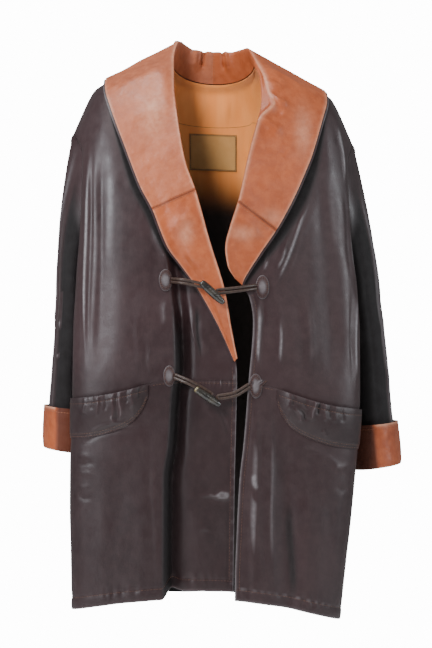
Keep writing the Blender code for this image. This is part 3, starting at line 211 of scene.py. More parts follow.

# Painted highlights (sheen) on the collar: middle, size and strength
COLLAR_PAINTED_SHEEN = table("x z wide high pale", (
    (148, -80, 14, 40, 0.36), (97, -225, 18, 12, 0.28), (49, -253, 22, 12, 0.36),
    (-43, -256, 12, 22, 0.38), (-98, -56, 22, 45, 0.42),
), "pale")

# Width of the band of painted shade on the fronts along the outer edge of the collar
COLLAR_SHADE_BAND = table("z width", (
    (-360, 3), (-310, 10), (-250, 16), (-200, 18), (-106, 11), (-40, 5), (0, 3),
))

# Creases: two ends, the bow sideways at mid-length, half widths on the left and right of the way from the
# first end to the second one in a view with u to the right and v up, and height, below 0 for a trough
CREASE_COLUMNS = "u0 v0 u1 v1 bow left right height"
FRONT_CREASES = {
    Side.RIGHT: table(CREASE_COLUMNS, (
        (203, -85, 209, -500, 3, 2.6, 3.2, 7), (196, -95, 201, -500, 3, 3.5, 3.5, -4.4),
        (188, -100, 193, -500, 3, 6, 6, 4.2), (178, -100, 182, -450, 3, 5, 5, -3),
        (160, -85, 170, -370, 5, 12, 15, 4.4), (102, -240, 74, -312, -3, 3, 2.6, 7),
        (112, -240, 86, -320, -3, 6, 6, -3.6), (74, -352, 82, -420, 2, 4, 5, 4.6),
        (105, -425, 100, -492, 1, 2.4, 2.6, 4.2), (120, -380, 118, -490, 2, 5, 5, 2.2),
        (56.5, -335, 50, -412, 1, 2.6, 3, 6.6), (43, -345, 26, -475, -3, 2.6, 3.2, 7),
        (33, -345, 19, -490, -3, 6, 6, -6.4), (15, -380, 12, -495, 2, 6, 6, 2.6),
        (45, -500, 40, -640, 3, 6, 7, 3.4), (15, -505, -4, -560, 2, 5, 6, 2.6),
        (-4, -528, -34, -594, 2, 4, 3.5, -4.4), (25, -684, -38, -686, -1, 2, 8, 6),
        (-2, -678, -33, -675, 1, 5, 7, 5.2), (24, -738, 3, -740, 1, 3, 5, 3.8),
        (-8, -700, -10, -830, 3, 10, 9, -3), (222, -602, 106, -566, -12, 3.5, 4, 4.4),
        (222, -612, 112, -576, -12, 4, 4, -3.6), (224, -622, 196, -624, 1, 3, 3, 2.8),
        (222, -638, 188, -634, 1, 3, 4, -3), (224, -652, 192, -655, -1, 2.5, 3, 2.8),
        (222, -676, 198, -672, 1, 3, 3, 2.6), (224, -690, 194, -693, 1, 3, 4, -3.6),
        (146, -720, 168, -830, -6, 13, 11, 3), (124, -690, 120, -860, 4, 10, 12, -2.6),
        (186, -690, 192, -870, -4, 9, 11, 2.6), (94, -540, 88, -880, 2, 5, 9, 3.9),
        (104, -640, 103, -820, -3, 6, 6, -2), (150, -150, 128, -220, 2, 10, 10, -2.2),
    )),
    Side.LEFT: table(CREASE_COLUMNS, (
        (203.5, -45, 220.5, -172, 1, 2.8, 2.8, 7), (219.5, -158, 234.5, -338, 1, 2.8, 3.2, 7.4),
        (234.5, -315, 233.5, -515, 1, 2.8, 3.2, 7), (213, -160, 226, -330, 1, 3.5, 3.5, -4.2),
        (226, -310, 226, -500, 1, 3.5, 3.5, -3.8), (186, -80, 202, -330, 4, 12, 12, 4.2),
        (168, -120, 178, -300, 3, 9, 9, -2.6), (161, -180, 96, -352, 1, 2.4, 2.4, 7.6),
        (166, -200, 108, -350, 1, 6, 6, 3), (121, -262, 102, -318, 1, 2.2, 2.2, 6),
        (92, -272, 80, -320, 1, 2.4, 2.4, 6), (74, -345, 73.5, -485, 1, 4, 4.5, 6.8),
        (82, -358, 81, -440, -1, 3, 3, -4.2), (109, -385, 109, -478, 1, 2.4, 2.6, 3.8),
        (101, -350, 112, -480, 4, 7, 8, 2.6), (135, -330, 142, -490, 3, 9, 8, -3),
        (158, -320, 164, -505, -3, 8, 11, 3.4), (190, -330, 192, -515, 3, 8, 8, -2.4),
        (68, -490, 64, -860, 2, 6, 8, 5.2), (64, -640, 76, -668, -2, 2.5, 3, 3.6),
        (60, -655, 70, -690, 2, 2.5, 3, -4.2), (79, -540, 78, -700, -2, 5, 6, -3.4),
        (92, -505, 96, -860, 2, 4, 7, 4.7), (80, -620, 82, -850, 1, 5, 5, -2.8),
        (122, -630, 128, -900, 2, 10, 12, -5.6), (160, -610, 154, -860, -4, 10, 9, 3),
        (188, -650, 180, -850, 5, 12, 12, -2.6), (206, -620, 196, -870, 3, 9, 10, 2.6),
        (224, -622, 190, -628, 2, 3, 4, 2.8), (224, -640, 130, -596, -10, 3.5, 4, 3.4),
        (220, -664, 196, -660, 1, 4, 5, -3), (56, -700, 54, -860, 2, 6, 7, -2.6),
    )),
}
BACK_CREASES = table(CREASE_COLUMNS, (
    (-190, -240, -140, -420, 12, 10, 8, 5), (-172, -250, -118, -400, 10, 7, 9, -4),
    (196, -230, 142, -410, -12, 9, 10, 5.2), (178, -240, 124, -380, -10, 7, 8, -4),
    (-85, -120, -110, -300, 6, 14, 12, 3.4), (80, -110, 102, -310, -6, 13, 13, 3.2),
    (-20, -160, -14, -420, 5, 15, 14, -3), (-160, -470, 10, -486, 10, 8, 10, 3.6),
    (-30, -520, 150, -500, -8, 8, 9, 3.4), (-120, -540, -20, -556, 6, 7, 8, -2.8),
    (-90, -560, -96, -860, 6, 9, 11, 4), (-166, -600, -172, -870, 4, 9, 9, -3.6),
    (58, -560, 64, -860, 5, 9, 11, 3.6), (118, -590, 124, -870, -4, 8, 9, -3.4),
    (180, -560, 176, -850, 4, 10, 9, 4), (-10, -600, -4, -850, 3, 9, 9, -3),
))

# Creases of the sleeves by the angle round them, 0 at the outer side and a quarter turn at the front, and z
SLEEVE_CREASES = {
    Side.RIGHT: table(CREASE_COLUMNS, (
        (0.34, -150, 0.4, -590, 2, 2.6, 3, 4.2), (0.6, -170, 0.66, -590, -2, 3, 3, -3.4),
        (0.86, -180, 0.92, -590, 2, 2.6, 3, 4.2), (0.12, -200, 0.14, -580, 1, 3, 3, -2.6),
        (1.7, -260, 1.8, -560, 4, 8, 8, -3.4), (0.1, -390, 1.3, -430, 6, 6, 7, 2.4),
        (0.2, -470, 1.5, -450, -6, 6, 8, 2.2), (5.6, -220, 5.4, -560, 5, 10, 10, -4),
        (4.6, -240, 4.8, -580, 6, 11, 10, 4.4), (4, -300, 5.9, -420, 10, 8, 10, 3.4),
        (3.9, -420, 5.8, -400, 8, 8, 9, -3), (3.1, -330, 3.2, -560, 4, 8, 8, 3),
    ), "u0 u1"),
    Side.LEFT: table(CREASE_COLUMNS, (
        (0.26, -130, 0.34, -610, 2, 3, 3.4, 4.2), (0.62, -150, 0.68, -580, -3, 5, 5, -3.6),
        (1.92, -110, 1.88, -520, 1, 2.6, 2.6, 4.2), (1.4, -180, 1.36, -600, -3, 6, 6, -3.4),
        (0.46, -420, 0.5, -620, 2, 2.6, 2.6, 3.4), (0.1, -380, 1.4, -430, 6, 6, 8, 2.4),
        (0.1, -480, 1.3, -452, -6, 7, 7, 2.2), (5.7, -210, 5.5, -580, 5, 10, 10, -4),
        (4.7, -230, 4.9, -600, 6, 11, 10, 4.4), (4.1, -310, 5.9, -430, 10, 8, 10, 3.4),
        (3.9, -430, 5.7, -410, 8, 8, 9, -3), (3, -320, 3.2, -560, 4, 8, 8, 3),
    ), "u0 u1"),
}

# Painted highlight lines down the sleeves: angle round, width of the line, strength, height of its upper end
SLEEVE_HIGHLIGHTS = {
    side: table("turn width pale start", rows, "turn width pale") for side, rows in (
        (Side.RIGHT, ((0.36, 0.10, 0.36, -100), (0.66, 0.05, 0.22, -200))),
        (Side.LEFT, ((0.52, 0.13, 0.50, -140), (0.16, 0.07, 0.25, -200))),
    )
}

# Creases of the collars by row of the collar and step from seam (0) to outer edge (1); roll line at 0.25
COLLAR_CREASES = {
    Side.RIGHT: table(CREASE_COLUMNS, (
        (0.42, 0.3, 0.5, 0.08, 0, 4, 3.5, -11), (0.85, 0.28, 0.9, 0.06, 1, 10, 8, 3.4),
        (2.8, 0.25, 3.25, 0.25, 0, 1.6, 1.6, -4), (2.75, 0.29, 3.3, 0.29, 0, 2.2, 2.2, 3),
        (4.6, 0.34, 4.3, 0.9, 8, 10, 12, 3), (5.2, 0.36, 5, 0.86, 6, 5, 6, -1.8),
        (5.7, 0.3, 5.5, 0.94, 6, 12, 9, 2.6), (6.2, 0.34, 6.05, 0.8, 4, 4, 5, -1.4),
        (6.8, 0.3, 6.5, 0.96, 5, 10, 12, 2), (7.45, 0.32, 7.3, 0.9, 3, 6, 6, -1.2),
        (8.35, 0.3, 8.7, 0.98, -4, 8, 10, 3.4), (8.9, 0.3, 9.05, 0.94, -3, 6, 6, -1.8),
        (9.35, 0.3, 9.3, 0.92, 3, 8, 8, 2), (9.8, 0.32, 9.9, 0.9, 2, 5, 5, -1.2),
        (3.4, 0.4, 3.3, 0.96, 4, 8, 8, 2), (1.5, 0.34, 1.7, 0.96, 6, 10, 10, 2.6),
    ), "u0 v0 u1 v1"),
    Side.LEFT: table(CREASE_COLUMNS, (
        (0.45, 0.29, 0.46, 0.08, 1, 3, 3.6, -6), (0.66, 0.28, 0.62, 0.08, 2, 3, 4, 5.6),
        (5.05, 0.26, 5.1, 0.55, -6, 4.5, 6, 5.2), (5.45, 0.27, 5.55, 0.66, -4, 5, 4.5, -5.8),
        (5.8, 0.26, 5.95, 0.62, -4, 4.5, 7, 5.2), (4.55, 0.28, 4.45, 0.62, 4, 6, 6, -3.4),
        (4.15, 0.3, 3.95, 0.8, 4, 7, 8, 3.2), (3.5, 0.32, 3.4, 0.9, 4, 7, 7, -2),
        (6.35, 0.34, 6.2, 0.92, 4, 9, 9, 2.2), (6.9, 0.34, 6.85, 0.86, 3, 5, 5, -1.4),
        (7.4, 0.32, 7.2, 0.94, 4, 10, 8, 2), (8.3, 0.3, 8.5, 0.95, -3, 7, 8, 3.2),
        (8.8, 0.3, 8.95, 0.9, -2, 4, 4, -1.6), (1.6, 0.34, 1.8, 0.96, 6, 10, 10, 2.6),
    ), "u0 v0 u1 v1"),
}

# Creases of the pouches by the way along the mouth from the inner corner and the way down from the mouth
POCKET_CREASES = {
    Side.RIGHT: table(CREASE_COLUMNS, (
        (51, 4, 50, -58, 1, 2.6, 3.4, -2.2), (45.5, 4, 44, -50, 1, 3, 4, 3),
        (57, 4, 58, -46, -1, 4, 4, 2.4), (62, -36, 48, -52, 2, 2.6, 2.6, 2.6),
        (14, 4, 15, -22, 0, 2.2, 2.6, -2.4), (25, 4, 24, -34, 1, 3, 3, 2.2),
        (34, 4, 35, -24, 0, 2.2, 2.6, -2), (70, 4, 69, -28, 0, 2.6, 3, -2),
        (81, 4, 83, -36, 1, 3.4, 3, 2.2), (93, 4, 92, -22, 0, 2.6, 2.6, -1.8),
        (106, 4, 108, -32, 1, 3.6, 3.4, 1.8),
    )),
    Side.LEFT: table(CREASE_COLUMNS, (
        (69, 4, 66, -22, 1, 2.6, 3, -2.8), (62, 4, 56, -34, 1, 3, 3.4, 3),
        (86, 4, 88, -24, 0, 2.8, 2.8, -2.4), (78, 4, 79, -30, 0, 3, 3, 2.4),
        (96, 4, 95, -28, 1, 2.8, 3, 2.2), (30, -20, 42, -42, 2, 2.4, 3, 2.8),
        (38, -18, 50, -36, 1, 2.4, 2.4, -2.4), (76, -44, 86, -52, 1, 2.4, 2.6, 2.2),
        (18, 4, 20, -28, 1, 2.8, 3, 2.2), (26, 4, 27, -20, 0, 2.4, 2.4, -2.2),
        (46, 4, 47, -18, 0, 2.6, 2.6, -2), (108, 4, 110, -26, 0, 3, 3, -1.6),
    )),
}
LINING_CREASES = table(CREASE_COLUMNS, (
    (-30, 10, -24, -60, 3, 6, 6, 2.2), (-10, 0, -16, -70, 2, 6, 7, -2), (20, 8, 24, -56, 2, 5, 6, 2.2),
    (46, 0, 42, -64, 2, 6, 6, -1.8), (-58, -60, -50, -240, 4, 7, 8, 2.6),
    (60, -60, 56, -260, 4, 7, 7, 2.6), (52, -66, 48, -160, 2, 4, 4, -2.4),
    (-10, -150, -6, -400, 4, 12, 12, 2.6),
))


def sided(right: float, left: float) -> dict[Side, float]:
    """A field with one value for each side."""
    return field(default_factory=lambda: {Side.RIGHT: right, Side.LEFT: left})


def smooth(knots: Array, values: Array, at: Array | float) -> Array:
    """Reads a curve through knots that never overshoots them.

    Args:
        knots: Places of the knots, rising.
        values: Values at the knots.
        at: Places to read.

    Returns:
        Values at the places.
    """
    knots, values = np.asarray(knots, float), np.asarray(values, float)
    at = np.clip(np.asarray(at, float), knots[0], knots[-1])
    width = np.diff(knots)
    slope = np.diff(values) / width
    lean = np.zeros_like(values)
    lean[0], lean[-1] = slope[0], slope[-1]
    before, after = slope[:-1], slope[1:]
    total = np.where(before * after > 0, before + after, 1.0)
    lean[1:-1] = np.where(before * after > 0, 2 * before * after / total, 0.0)
    i = np.clip(np.searchsorted(knots, at, side="right") - 1, 0, len(width) - 1)
    t = (at - knots[i]) / width[i]
    rest = 1 - t
    return (
        values[i] * (1 + 2 * t) * rest**2
        + values[i + 1] * (3 - 2 * t) * t**2
        + width[i] * (lean[i] * t * rest**2 - lean[i + 1] * rest * t**2)
    )


def curve(rows: Table, name: str, at: Array | float) -> Array:
    """Reads a column of a table by its first column."""
    return smooth(next(iter(rows.values())), rows[name], at)


def ease(share: Array | float) -> Array:
    """A soft step from 0 to 1."""
    share = np.clip(share, 0.0, 1.0)
    return share * share * (3 - 2 * share)


def bell(off: Array, width: Array | float) -> Array:
    """A bell curve, 1 in the middle."""
    return np.exp(-((off / width) ** 2))


def unit(vectors: Array) -> Array:
    """Vectors of length one."""
    return vectors / np.maximum(np.linalg.norm(vectors, axis=-1, keepdims=True), 1e-12)


def lengths(points: Array, axis: int) -> Array:
    """Distance of each point along the columns (axis 0) or the rows (axis 1) of a grid."""
    steps = np.linalg.norm(np.diff(points, axis=axis), axis=2)
    return np.cumsum(np.pad(steps, ((1 - axis, 0), (axis, 0))), axis=axis)


def spaced(points: Array, shares: Array) -> Array:
    """Points at shares of a line's length, with any further columns of the line carried along."""
    along = np.pad(np.cumsum(np.linalg.norm(np.diff(points[:, :3], axis=0), axis=1)), (1, 0))
    return np.stack([np.interp(shares * along[-1], along, c) for c in points.T], axis=1)


def square(points: Array, towards: Array, closed: bool = False) -> Array:
    """Directions square to a grid of points.

    Args:
        points: Grid of points.
        towards: A direction, or one for each point, on whose side they lie.
        closed: Whether the rows run round a tube.

    Returns:
        A direction for each point.
    """
    across = np.gradient(points, axis=1)
    if closed:
        across = np.roll(points, -1, axis=1) - np.roll(points, 1, axis=1)
    found = unit(np.cross(across, np.gradient(points, axis=0)))
    return found * np.sign(np.sum(found * towards))


def even_rows(grid: Array, ups: Array, reach: float) -> Array:
    """Evens a grid out between rows at given places, by a bell curve of a given reach."""
    weights = np.exp(-0.5 * ((ups[:, None] - ups[None, :]) / reach) ** 2)
    return np.tensordot(weights / weights.sum(axis=1, keepdims=True), grid, axes=1)


def relax(grid: Array, passes: int) -> Array:
    """Evens a grid out with its neighbours.

    Args:
        grid: Grid of values.
        passes: Number of times each value moves towards its neighbours.

    Returns:
        The evened grid.
    """
    for _ in range(passes):
        wide = np.pad(grid, ((1, 1), (1, 1), (0, 0)), mode="edge")
        beside = wide[:-2, 1:-1] + wide[2:, 1:-1] + wide[1:-1, :-2] + wide[1:-1, 2:]
        grid = (4 * grid + beside) / 8
    return grid


def uneven(at: Array, waves: Triple) -> Array:
    """Waves along a line by their rate, how far they swing from it, and the rate of that."""
    return np.sin(waves[0] * at + waves[1] * np.sin(waves[2] * at))


def ripple(u: Array, v: Array) -> Array:
    """Small uneven waves of hanging leather, about one high.

    Args:
        u, v: Place across and up, in metres.

    Returns:
        A height for each place.
    """
    slow = np.sin(61 * u + 1.7 * np.sin(23 * v)) * np.sin(31 * v + 1.1 * np.sin(37 * u))
    mid = np.sin(131 * u + 2.3 * np.sin(47 * v + 0.6)) * np.sin(83 * v + 1.9 * np.sin(71 * u))
    fine = np.sin(253 * u - 117 * v + 2.1 * np.sin(89 * v)) * np.sin(171 * v + 93 * u)
    return 0.55 * slow + 0.3 * mid + 0.15 * fine


def shade_of(height: Array, span: float) -> Array:
    """Painted light that goes with creases: a painted highlight above 0 on ridges and painted shade below 0
    in hollows.
    """
    return np.where(height > 0, RIDGE_HIGHLIGHT, -1.0) * ease(0.9 * (height / span) ** 2 - 0.1)


@dataclass
class Creases:
    """Soft troughs and ridges of a piece, each with its own ends, bow, half widths and height."""

    rows: Table
    fade: float = 0.38
    sway: float = 0.16
    most_sway: float = 0.012
    sway_wave: Pair = (9.0, 40.0)
    vary: float = 0.22
    vary_wave: Pair = (5.0, 90.0)

    def height(self, u: Array, v: Array) -> Array:
        """Sums the creases.

        Args:
            u, v: Place across and up, in metres.

        Returns:
            How far each place stands out.
        """
        total = np.zeros_like(u)
        for u0, v0, u1, v1, bow, left, right, height in zip(*self.rows.values()):
            span = math.hypot(u1 - u0, v1 - v0)
            du, dv = (u1 - u0) / span, (v1 - v0) / span
            t = ((u - u0) * du + (v - v0) * dv) / span
            aside = (v - v0) * du - (u - u0) * dv - bow * 4 * t * (1 - t)
            sway = np.sin(self.sway_wave[0] * t + self.sway_wave[1] * (u0 + v0))
            aside = aside + self.sway * min(left + right, self.most_sway) * sway
            vary = self.vary * np.sin(self.vary_wave[0] * t + self.vary_wave[1] * u1)
            width = np.where(aside > 0, left, right) * (1 + vary)
            ends = ease(t / self.fade) * ease((1 - t) / self.fade)
            total += height * ends * bell(aside, width)
        return total


def read_grid(grid: Array, across: Array, up: Array) -> Array:
    """Reads values between the points of a grid.

    Args:
        grid: Values at each point.
        across, up: Shares across and up the grid.

    Returns:
        The values there.
    """
    rows, columns = grid.shape[:2]
    a = np.clip(np.asarray(across, float), 0, 1) * (columns - 1)
    b = np.clip(np.asarray(up, float), 0, 1) * (rows - 1)
    i = np.minimum(a.astype(int), columns - 2)
    j = np.minimum(b.astype(int), rows - 2)
    s, t = (a - i)[..., None], (b - j)[..., None]
    low = grid[j, i] * (1 - s) + grid[j, i + 1] * s
    high = grid[j + 1, i] * (1 - s) + grid[j + 1, i + 1] * s
    return low * (1 - t) + high * t


@dataclass
class Sheet:
    """A densely worked out surface of the torso that panels are cut from."""

    points: Array
    out: Array
    shade: Array
    side: Side
    fine: int = 400
    tries: int = 8
    first: Pair = (0.4, 0.5)

    def shade_at(self, across: Array, up: Array) -> Array:
        """Painted highlights and shade of the leather at shares across and up."""
        return read_grid(self.shade[..., None], across, up)[..., 0]

    def at(self, across: Array, up: Array) -> tuple[Array, Array]:
        """Points and outward directions at shares across and up."""
        return read_grid(self.points, across, up), unit(read_grid(self.out, across, up))

    def up_at(self, across: float, z: float) -> float:
        """Share up the sheet at which a column reaches a height."""
        shares = np.linspace(0, 1, self.fine)
        return float(np.interp(z, self.at(np.full_like(shares, across), shares)[0][:, 2], shares))

    def find(self, out: float, z: float) -> Pair:
        """Finds a place on the front of the sheet.

        Args:
            out: Distance from the middle.
            z: Height.

        Returns:
            Shares across and up.
        """
        across, up = self.first
        shares = np.linspace(0, 1, self.fine)
        for _ in range(self.tries):
            up = self.up_at(across, z)
            line = self.at(shares, np.full_like(shares, up))[0][:, 0] * self.side.value
            turn = int(np.argmax(line))
            across = float(np.interp(out, line[: turn + 1], shares[: turn + 1]))
        return across, up


class Board:
    """A material with its node tree, and short ways to add to it."""

    def __init__(self, name: str) -> None:
        """Makes an empty material with a principled shader.

        Args:
            name: Name of the material.
        """
        self.material = bpy.data.materials.new(name)
        self.material.use_nodes = True
        self.tree = self.material.node_tree
        self.shader = self.tree.nodes["Principled BSDF"]
        self.place = self.add("ShaderNodeTexCoord").outputs["Object"]

    def add(self, kind: str, *inputs: object, **values: object) -> Node:
        """Adds a node.

        Args:
            kind: Kind of the node.
            inputs: Values or sockets for its first inputs.
            values: Its settings, or values or sockets for inputs by name with spaces written as underscores.

        Returns:
            The node.
        """
        node = self.tree.nodes.new(kind)
        for name, value in values.items():
            title = name.replace("_", " ")
            if title in node.inputs:
                self.feed(node.inputs[title], value)
            else:
                setattr(node, name, value)
        for socket, value in zip(node.inputs, inputs):
            self.feed(socket, value)
        return node

    def feed(self, socket: NodeSocket, value: object) -> None:
        """Links a socket to another one or sets its value.

        Args:
            socket: Socket to feed.
            value: Another socket, or a value, of which a colour is made opaque.
        """
        if isinstance(value, NodeSocket):
            self.tree.links.new(value, socket)
        else:
            socket.default_value = (*value, 1.0) if socket.type == "RGBA" else value

    def noise(self, scale: float, detail: float = 3.0, stretch: Triple = (1, 1, 1)) -> NodeSocket:
        """A cloudy value, about 0.3 to 0.7, by clouds in a metre, octaves and the scale's share by axis."""
        spread = self.add("ShaderNodeMapping", Vector=self.place, Scale=stretch).outputs[0]
        return self.add("ShaderNodeTexNoise", Vector=spread, Scale=scale, Detail=detail).outputs[0]

    def cells(self, scale: float) -> NodeSocket:
        """Pebbles of a leather's grain, by distance from the middle of each."""
        return self.add("ShaderNodeTexVoronoi", Vector=self.place, Scale=scale).outputs["Distance"]

    def span(self, value: NodeSocket, low: Pair, high: Pair) -> NodeSocket:
        """Spreads a value over a range, of which each end is a value and what it becomes."""
        return self.add("ShaderNodeMapRange", value, low[0], high[0], low[1], high[1]).outputs[0]

    def blend(self, share: NodeSocket | float, first: object, second: object) -> NodeSocket:
        """Mixes two colours.

        Args:
            share: Share of the second one.
            first, second: Colours or sockets.

        Returns:
            The mixed colour.
        """
        node = self.add("ShaderNodeMix", share, data_type="RGBA")
        for socket, value in zip(node.inputs[6:8], (first, second)):
            self.feed(socket, value)
        return node.outputs[2]

    def reckon(self, kind: str, first: object, second: object) -> NodeSocket:
        """Reckons with two values or sockets, such as by ADD or MULTIPLY."""
        return self.add("ShaderNodeMath", first, second, operation=kind).outputs[0]

    def mark(self, name: str) -> NodeSocket:
        """A value that the mesh carries under a name."""
        return self.add("ShaderNodeAttribute", attribute_name=name).outputs["Fac"]

    def bump(self, height: NodeSocket, depth: float = 1.0) -> None:
        """Roughens the surface by a height times a depth in metres."""
        node = self.add("ShaderNodeBump", Height=height, Distance=depth, Strength=1.0)
        self.feed(self.shader.inputs["Normal"], node.outputs[0])

    def finish(self, colour: object, roughness: object, **values: float) -> Material:
        """Sets the shader.

        Args:
            colour: Base colour or socket.
            roughness: Roughness or socket.
            values: Further inputs of the shader, with spaces written as underscores.

        Returns:
            The material.
        """
        for name, value in (("Base_Color", colour), ("Roughness", roughness), *values.items()):
            self.feed(self.shader.inputs[name.replace("_", " ")], value)
        return self.material


@dataclass(frozen=True)
class Finish:
    """A plain pale finish, as of the floor, that makes its material once."""

    name: str

    def material(self) -> Material:
        """The material, made at the first call."""
        return bpy.data.materials.get(self.name) or self.paint(Board(self.name))

    def paint(self, board: Board) -> Material:
        """A matt pale grey."""
        return board.finish((0.86, 0.86, 0.86), 0.9)


@dataclass(frozen=True)
class Leather(Finish):
    """Smooth leather with a fine grain and cloudy colour, rubbed on edges, with painted highlights on ridges
    and painted shade in hollows.
    """

    dark: Triple
    middle: Triple
    light: Triple
    # Colour of rubbed edges, also of painted highlights
    rubbed: Triple
    # Colour of painted shade, also of dark seam lines
    deep: Triple
    roughness: Pair
    grain: float = 640.0
    grain_depth: float = 0.00004
    crumple: float = 46.0
    crumple_depth: float = 0.0004
    lines: float = 260.0
    lines_depth: float = 0.00010
    clouds: Pair = (9.0, 5.0)
    cloud_reach: Pair = (0.36, 0.64)
    spots: Pair = (85.0, 4.0)
    spot_reach: Pair = (0.40, 0.66)
    spot_share: float = 0.35
    rubbing: float = 140.0
    shine: Pair = (42.0, 4.0)
    shine_reach: Pair = (0.32, 0.68)
    sunk_matt: Pair = (-0.45, 0.45)

    def paint(self, board: Board) -> Material:
        """Paints the leather.

        Args:
            board: Where the material is made.

        Returns:
            The material.
        """
        low, high = self.cloud_reach
        clouds = board.span(board.noise(*self.clouds), (low, 0.0), (high, 1.0))
        low, high = self.spot_reach
        spots = board.span(board.noise(*self.spots), (low, 0.0), (high, 1.0))
        tone = board.blend(clouds, self.dark, self.middle)
        tone = board.blend(board.reckon("MULTIPLY", spots, self.spot_share), tone, self.light)
        # The mesh's mark: above 0 rubbed edges and painted highlights, below 0 painted shade
        mark = board.mark("wear")
        patchy = board.span(board.noise(self.rubbing), (0.3, 0.55), (0.7, 1.0))
        # Share of the colour of rubbed edges and painted highlights, in patches
        worn = board.reckon("MULTIPLY", board.span(mark, (0.0, 0.0), (1.0, 1.0)), patchy)
        # Share of the painted shade colour
        sunk = board.span(mark, (-1.0, 1.0), (0.0, 0.0))
        tone = board.blend(sunk, board.blend(worn, tone, self.rubbed), self.deep)
        gloss = board.span(board.noise(*self.shine), *zip(self.shine_reach, self.roughness))
        matt_from, matt = self.sunk_matt
        gloss = board.reckon("ADD", gloss, board.span(mark, (-1.0, matt), (matt_from, 0.0)))
        pebbles = board.reckon("MULTIPLY", board.cells(self.grain), self.grain_depth)
        waves = board.reckon("MULTIPLY", board.noise(self.crumple, 2.0), self.crumple_depth)
        lines = board.reckon("MULTIPLY", board.noise(self.lines, 2.0), self.lines_depth)
        board.bump(board.reckon("ADD", pebbles, board.reckon("ADD", waves, lines)))
        return board.finish(tone, gloss)


@dataclass(frozen=True)
class Streaked(Finish):
    """Cloth, horn or thread with streaks of two tones, and a third one where the mesh is marked."""

    dark: Triple
    light: Triple
    marked: Triple
    streaks: tuple
    reach: Pair
    roughness: float
    relief: tuple = (420.0, 3.0)
    depth: float = 0.0
    sheen: float = 0.0
    coat: float = 0.0

    def paint(self, board: Board) -> Material:
        """Paints the streaks.

        Args:
            board: Where the material is made.

        Returns:
            The material.
        """
        streaks = board.span(board.noise(*self.streaks), (self.reach[0], 0.0), (self.reach[1], 1.0))
        tone = board.blend(streaks, self.dark, self.light)
        tone = board.blend(board.mark("wear"), tone, self.marked)
        board.bump(board.reckon("MULTIPLY", board.noise(*self.relief), self.depth))
        return board.finish(tone, self.roughness, Sheen_Weight=self.sheen, Coat_Weight=self.coat)


# The fourth colour is for rubbed edges and painted highlights, the fifth for painted shade
DARK = Leather(
    "dark_brown_leather", (0.0190, 0.0086, 0.0098), (0.0270, 0.0128, 0.0142), (0.038, 0.021, 0.022),
    (0.210, 0.200, 0.210), (0.0030, 0.0019, 0.0021), (0.40, 0.52),
)
# The fourth colour is for rubbed edges and painted sheen, the fifth for painted shade and dark seam lines
TAN = Leather(
    "tan_leather_satin", (0.23, 0.048, 0.0145), (0.315, 0.073, 0.0235), (0.40, 0.110, 0.042),
    (0.60, 0.32, 0.21), (0.040, 0.009, 0.004), (0.37, 0.52), crumple=75.0, crumple_depth=0.0011,
    lines_depth=0.0002,
)
# The third, nearly black colour is painted shade on the lower lining
LINING = Streaked(
    "golden_lining", (0.90, 0.285, 0.064), (0.95, 0.33, 0.086), (0.012, 0.004, 0.002),
    (70.0, 3.0, (1.0, 1.0, 0.08)), (0.36, 0.66), 0.55, (900.0, 2.0, (1.0, 1.0, 0.35)), 0.00012, sheen=0.25,
)
LABEL_HIDE = Leather(
    "khaki_label", (0.50, 0.24, 0.075), (0.55, 0.28, 0.095), (0.60, 0.32, 0.12),
    (0.12, 0.06, 0.025), (0.10, 0.05, 0.02), (0.55, 0.68), grain=800.0, crumple_depth=0.0003,
)
CORD_HIDE = Leather(
    "cord_leather_dark", (0.018, 0.010, 0.008), (0.030, 0.017, 0.013), (0.050, 0.030, 0.022),
    (0.10, 0.060, 0.042), (0.006, 0.004, 0.003), (0.34, 0.48), grain=1200.0,
)
HORN = Streaked(
    "dark_horn", (0.012, 0.011, 0.010), (0.040, 0.034, 0.026), (0.30, 0.24, 0.12),
    (150.0, 4.0, (0.35, 1.0, 0.55)), (0.40, 0.68), 0.24, depth=0.0001, coat=0.3,
)
THREAD, TAN_THREAD = (
    Streaked(name, dark, light, light, (260.0, 2.0), (0.35, 0.65), 0.5) for name, dark, light in (
        ("brown_thread", (0.050, 0.024, 0.016), (0.100, 0.046, 0.030)),
        ("tan_thread", (0.20, 0.066, 0.030), (0.28, 0.100, 0.046)),
    )
)
FLOOR = Finish("pale_floor")


# Slot of each finish, and the last word in the names of its pieces
STUFF = {
    DARK: (Slot.DARK, "leather"), TAN: (Slot.TAN, "leather"), LINING: (Slot.LINING, "cloth"),
    LABEL_HIDE: (Slot.LABEL, "hide"),
}


def add_mesh(
    name: str, vertices: Array, faces: Faces, finish: Finish, wear: Array | None = None
) -> Object:
    """Makes a mesh object that hangs as the garment does.

    Args:
        name: Name of the piece.
        vertices: Points before the garment's slope.
        faces: Corner numbers of each face, turned outward.
        finish: Finish of the piece.
        wear: How worn each point is, and its painted light: above 0 worn places and painted highlights,
            below 0 painted shade.

    Returns:
        The object.
    """
    moved = np.array(vertices, float).reshape(-1, 3)
    moved[:, 2] -= HANG_SLOPE * moved[:, 0]
    mesh = bpy.data.meshes.new(name)
    mesh.from_pydata(moved.tolist(), [], faces)
    mesh.shade_smooth()
    mesh.set_sharp_from_angle(angle=SHARP_ANGLE)
    worn = np.zeros(len(moved)) if wear is None else np.asarray(wear, float).ravel()
    # The mesh's mark carries worn places, painted highlights and painted shade
    mesh.attributes.new("wear", "FLOAT", "POINT").data.foreach_set("value", worn)
    mesh.materials.append(finish.material())
    made = bpy.data.objects.new(name, mesh)
    bpy.context.scene.collection.objects.link(made)
    return made


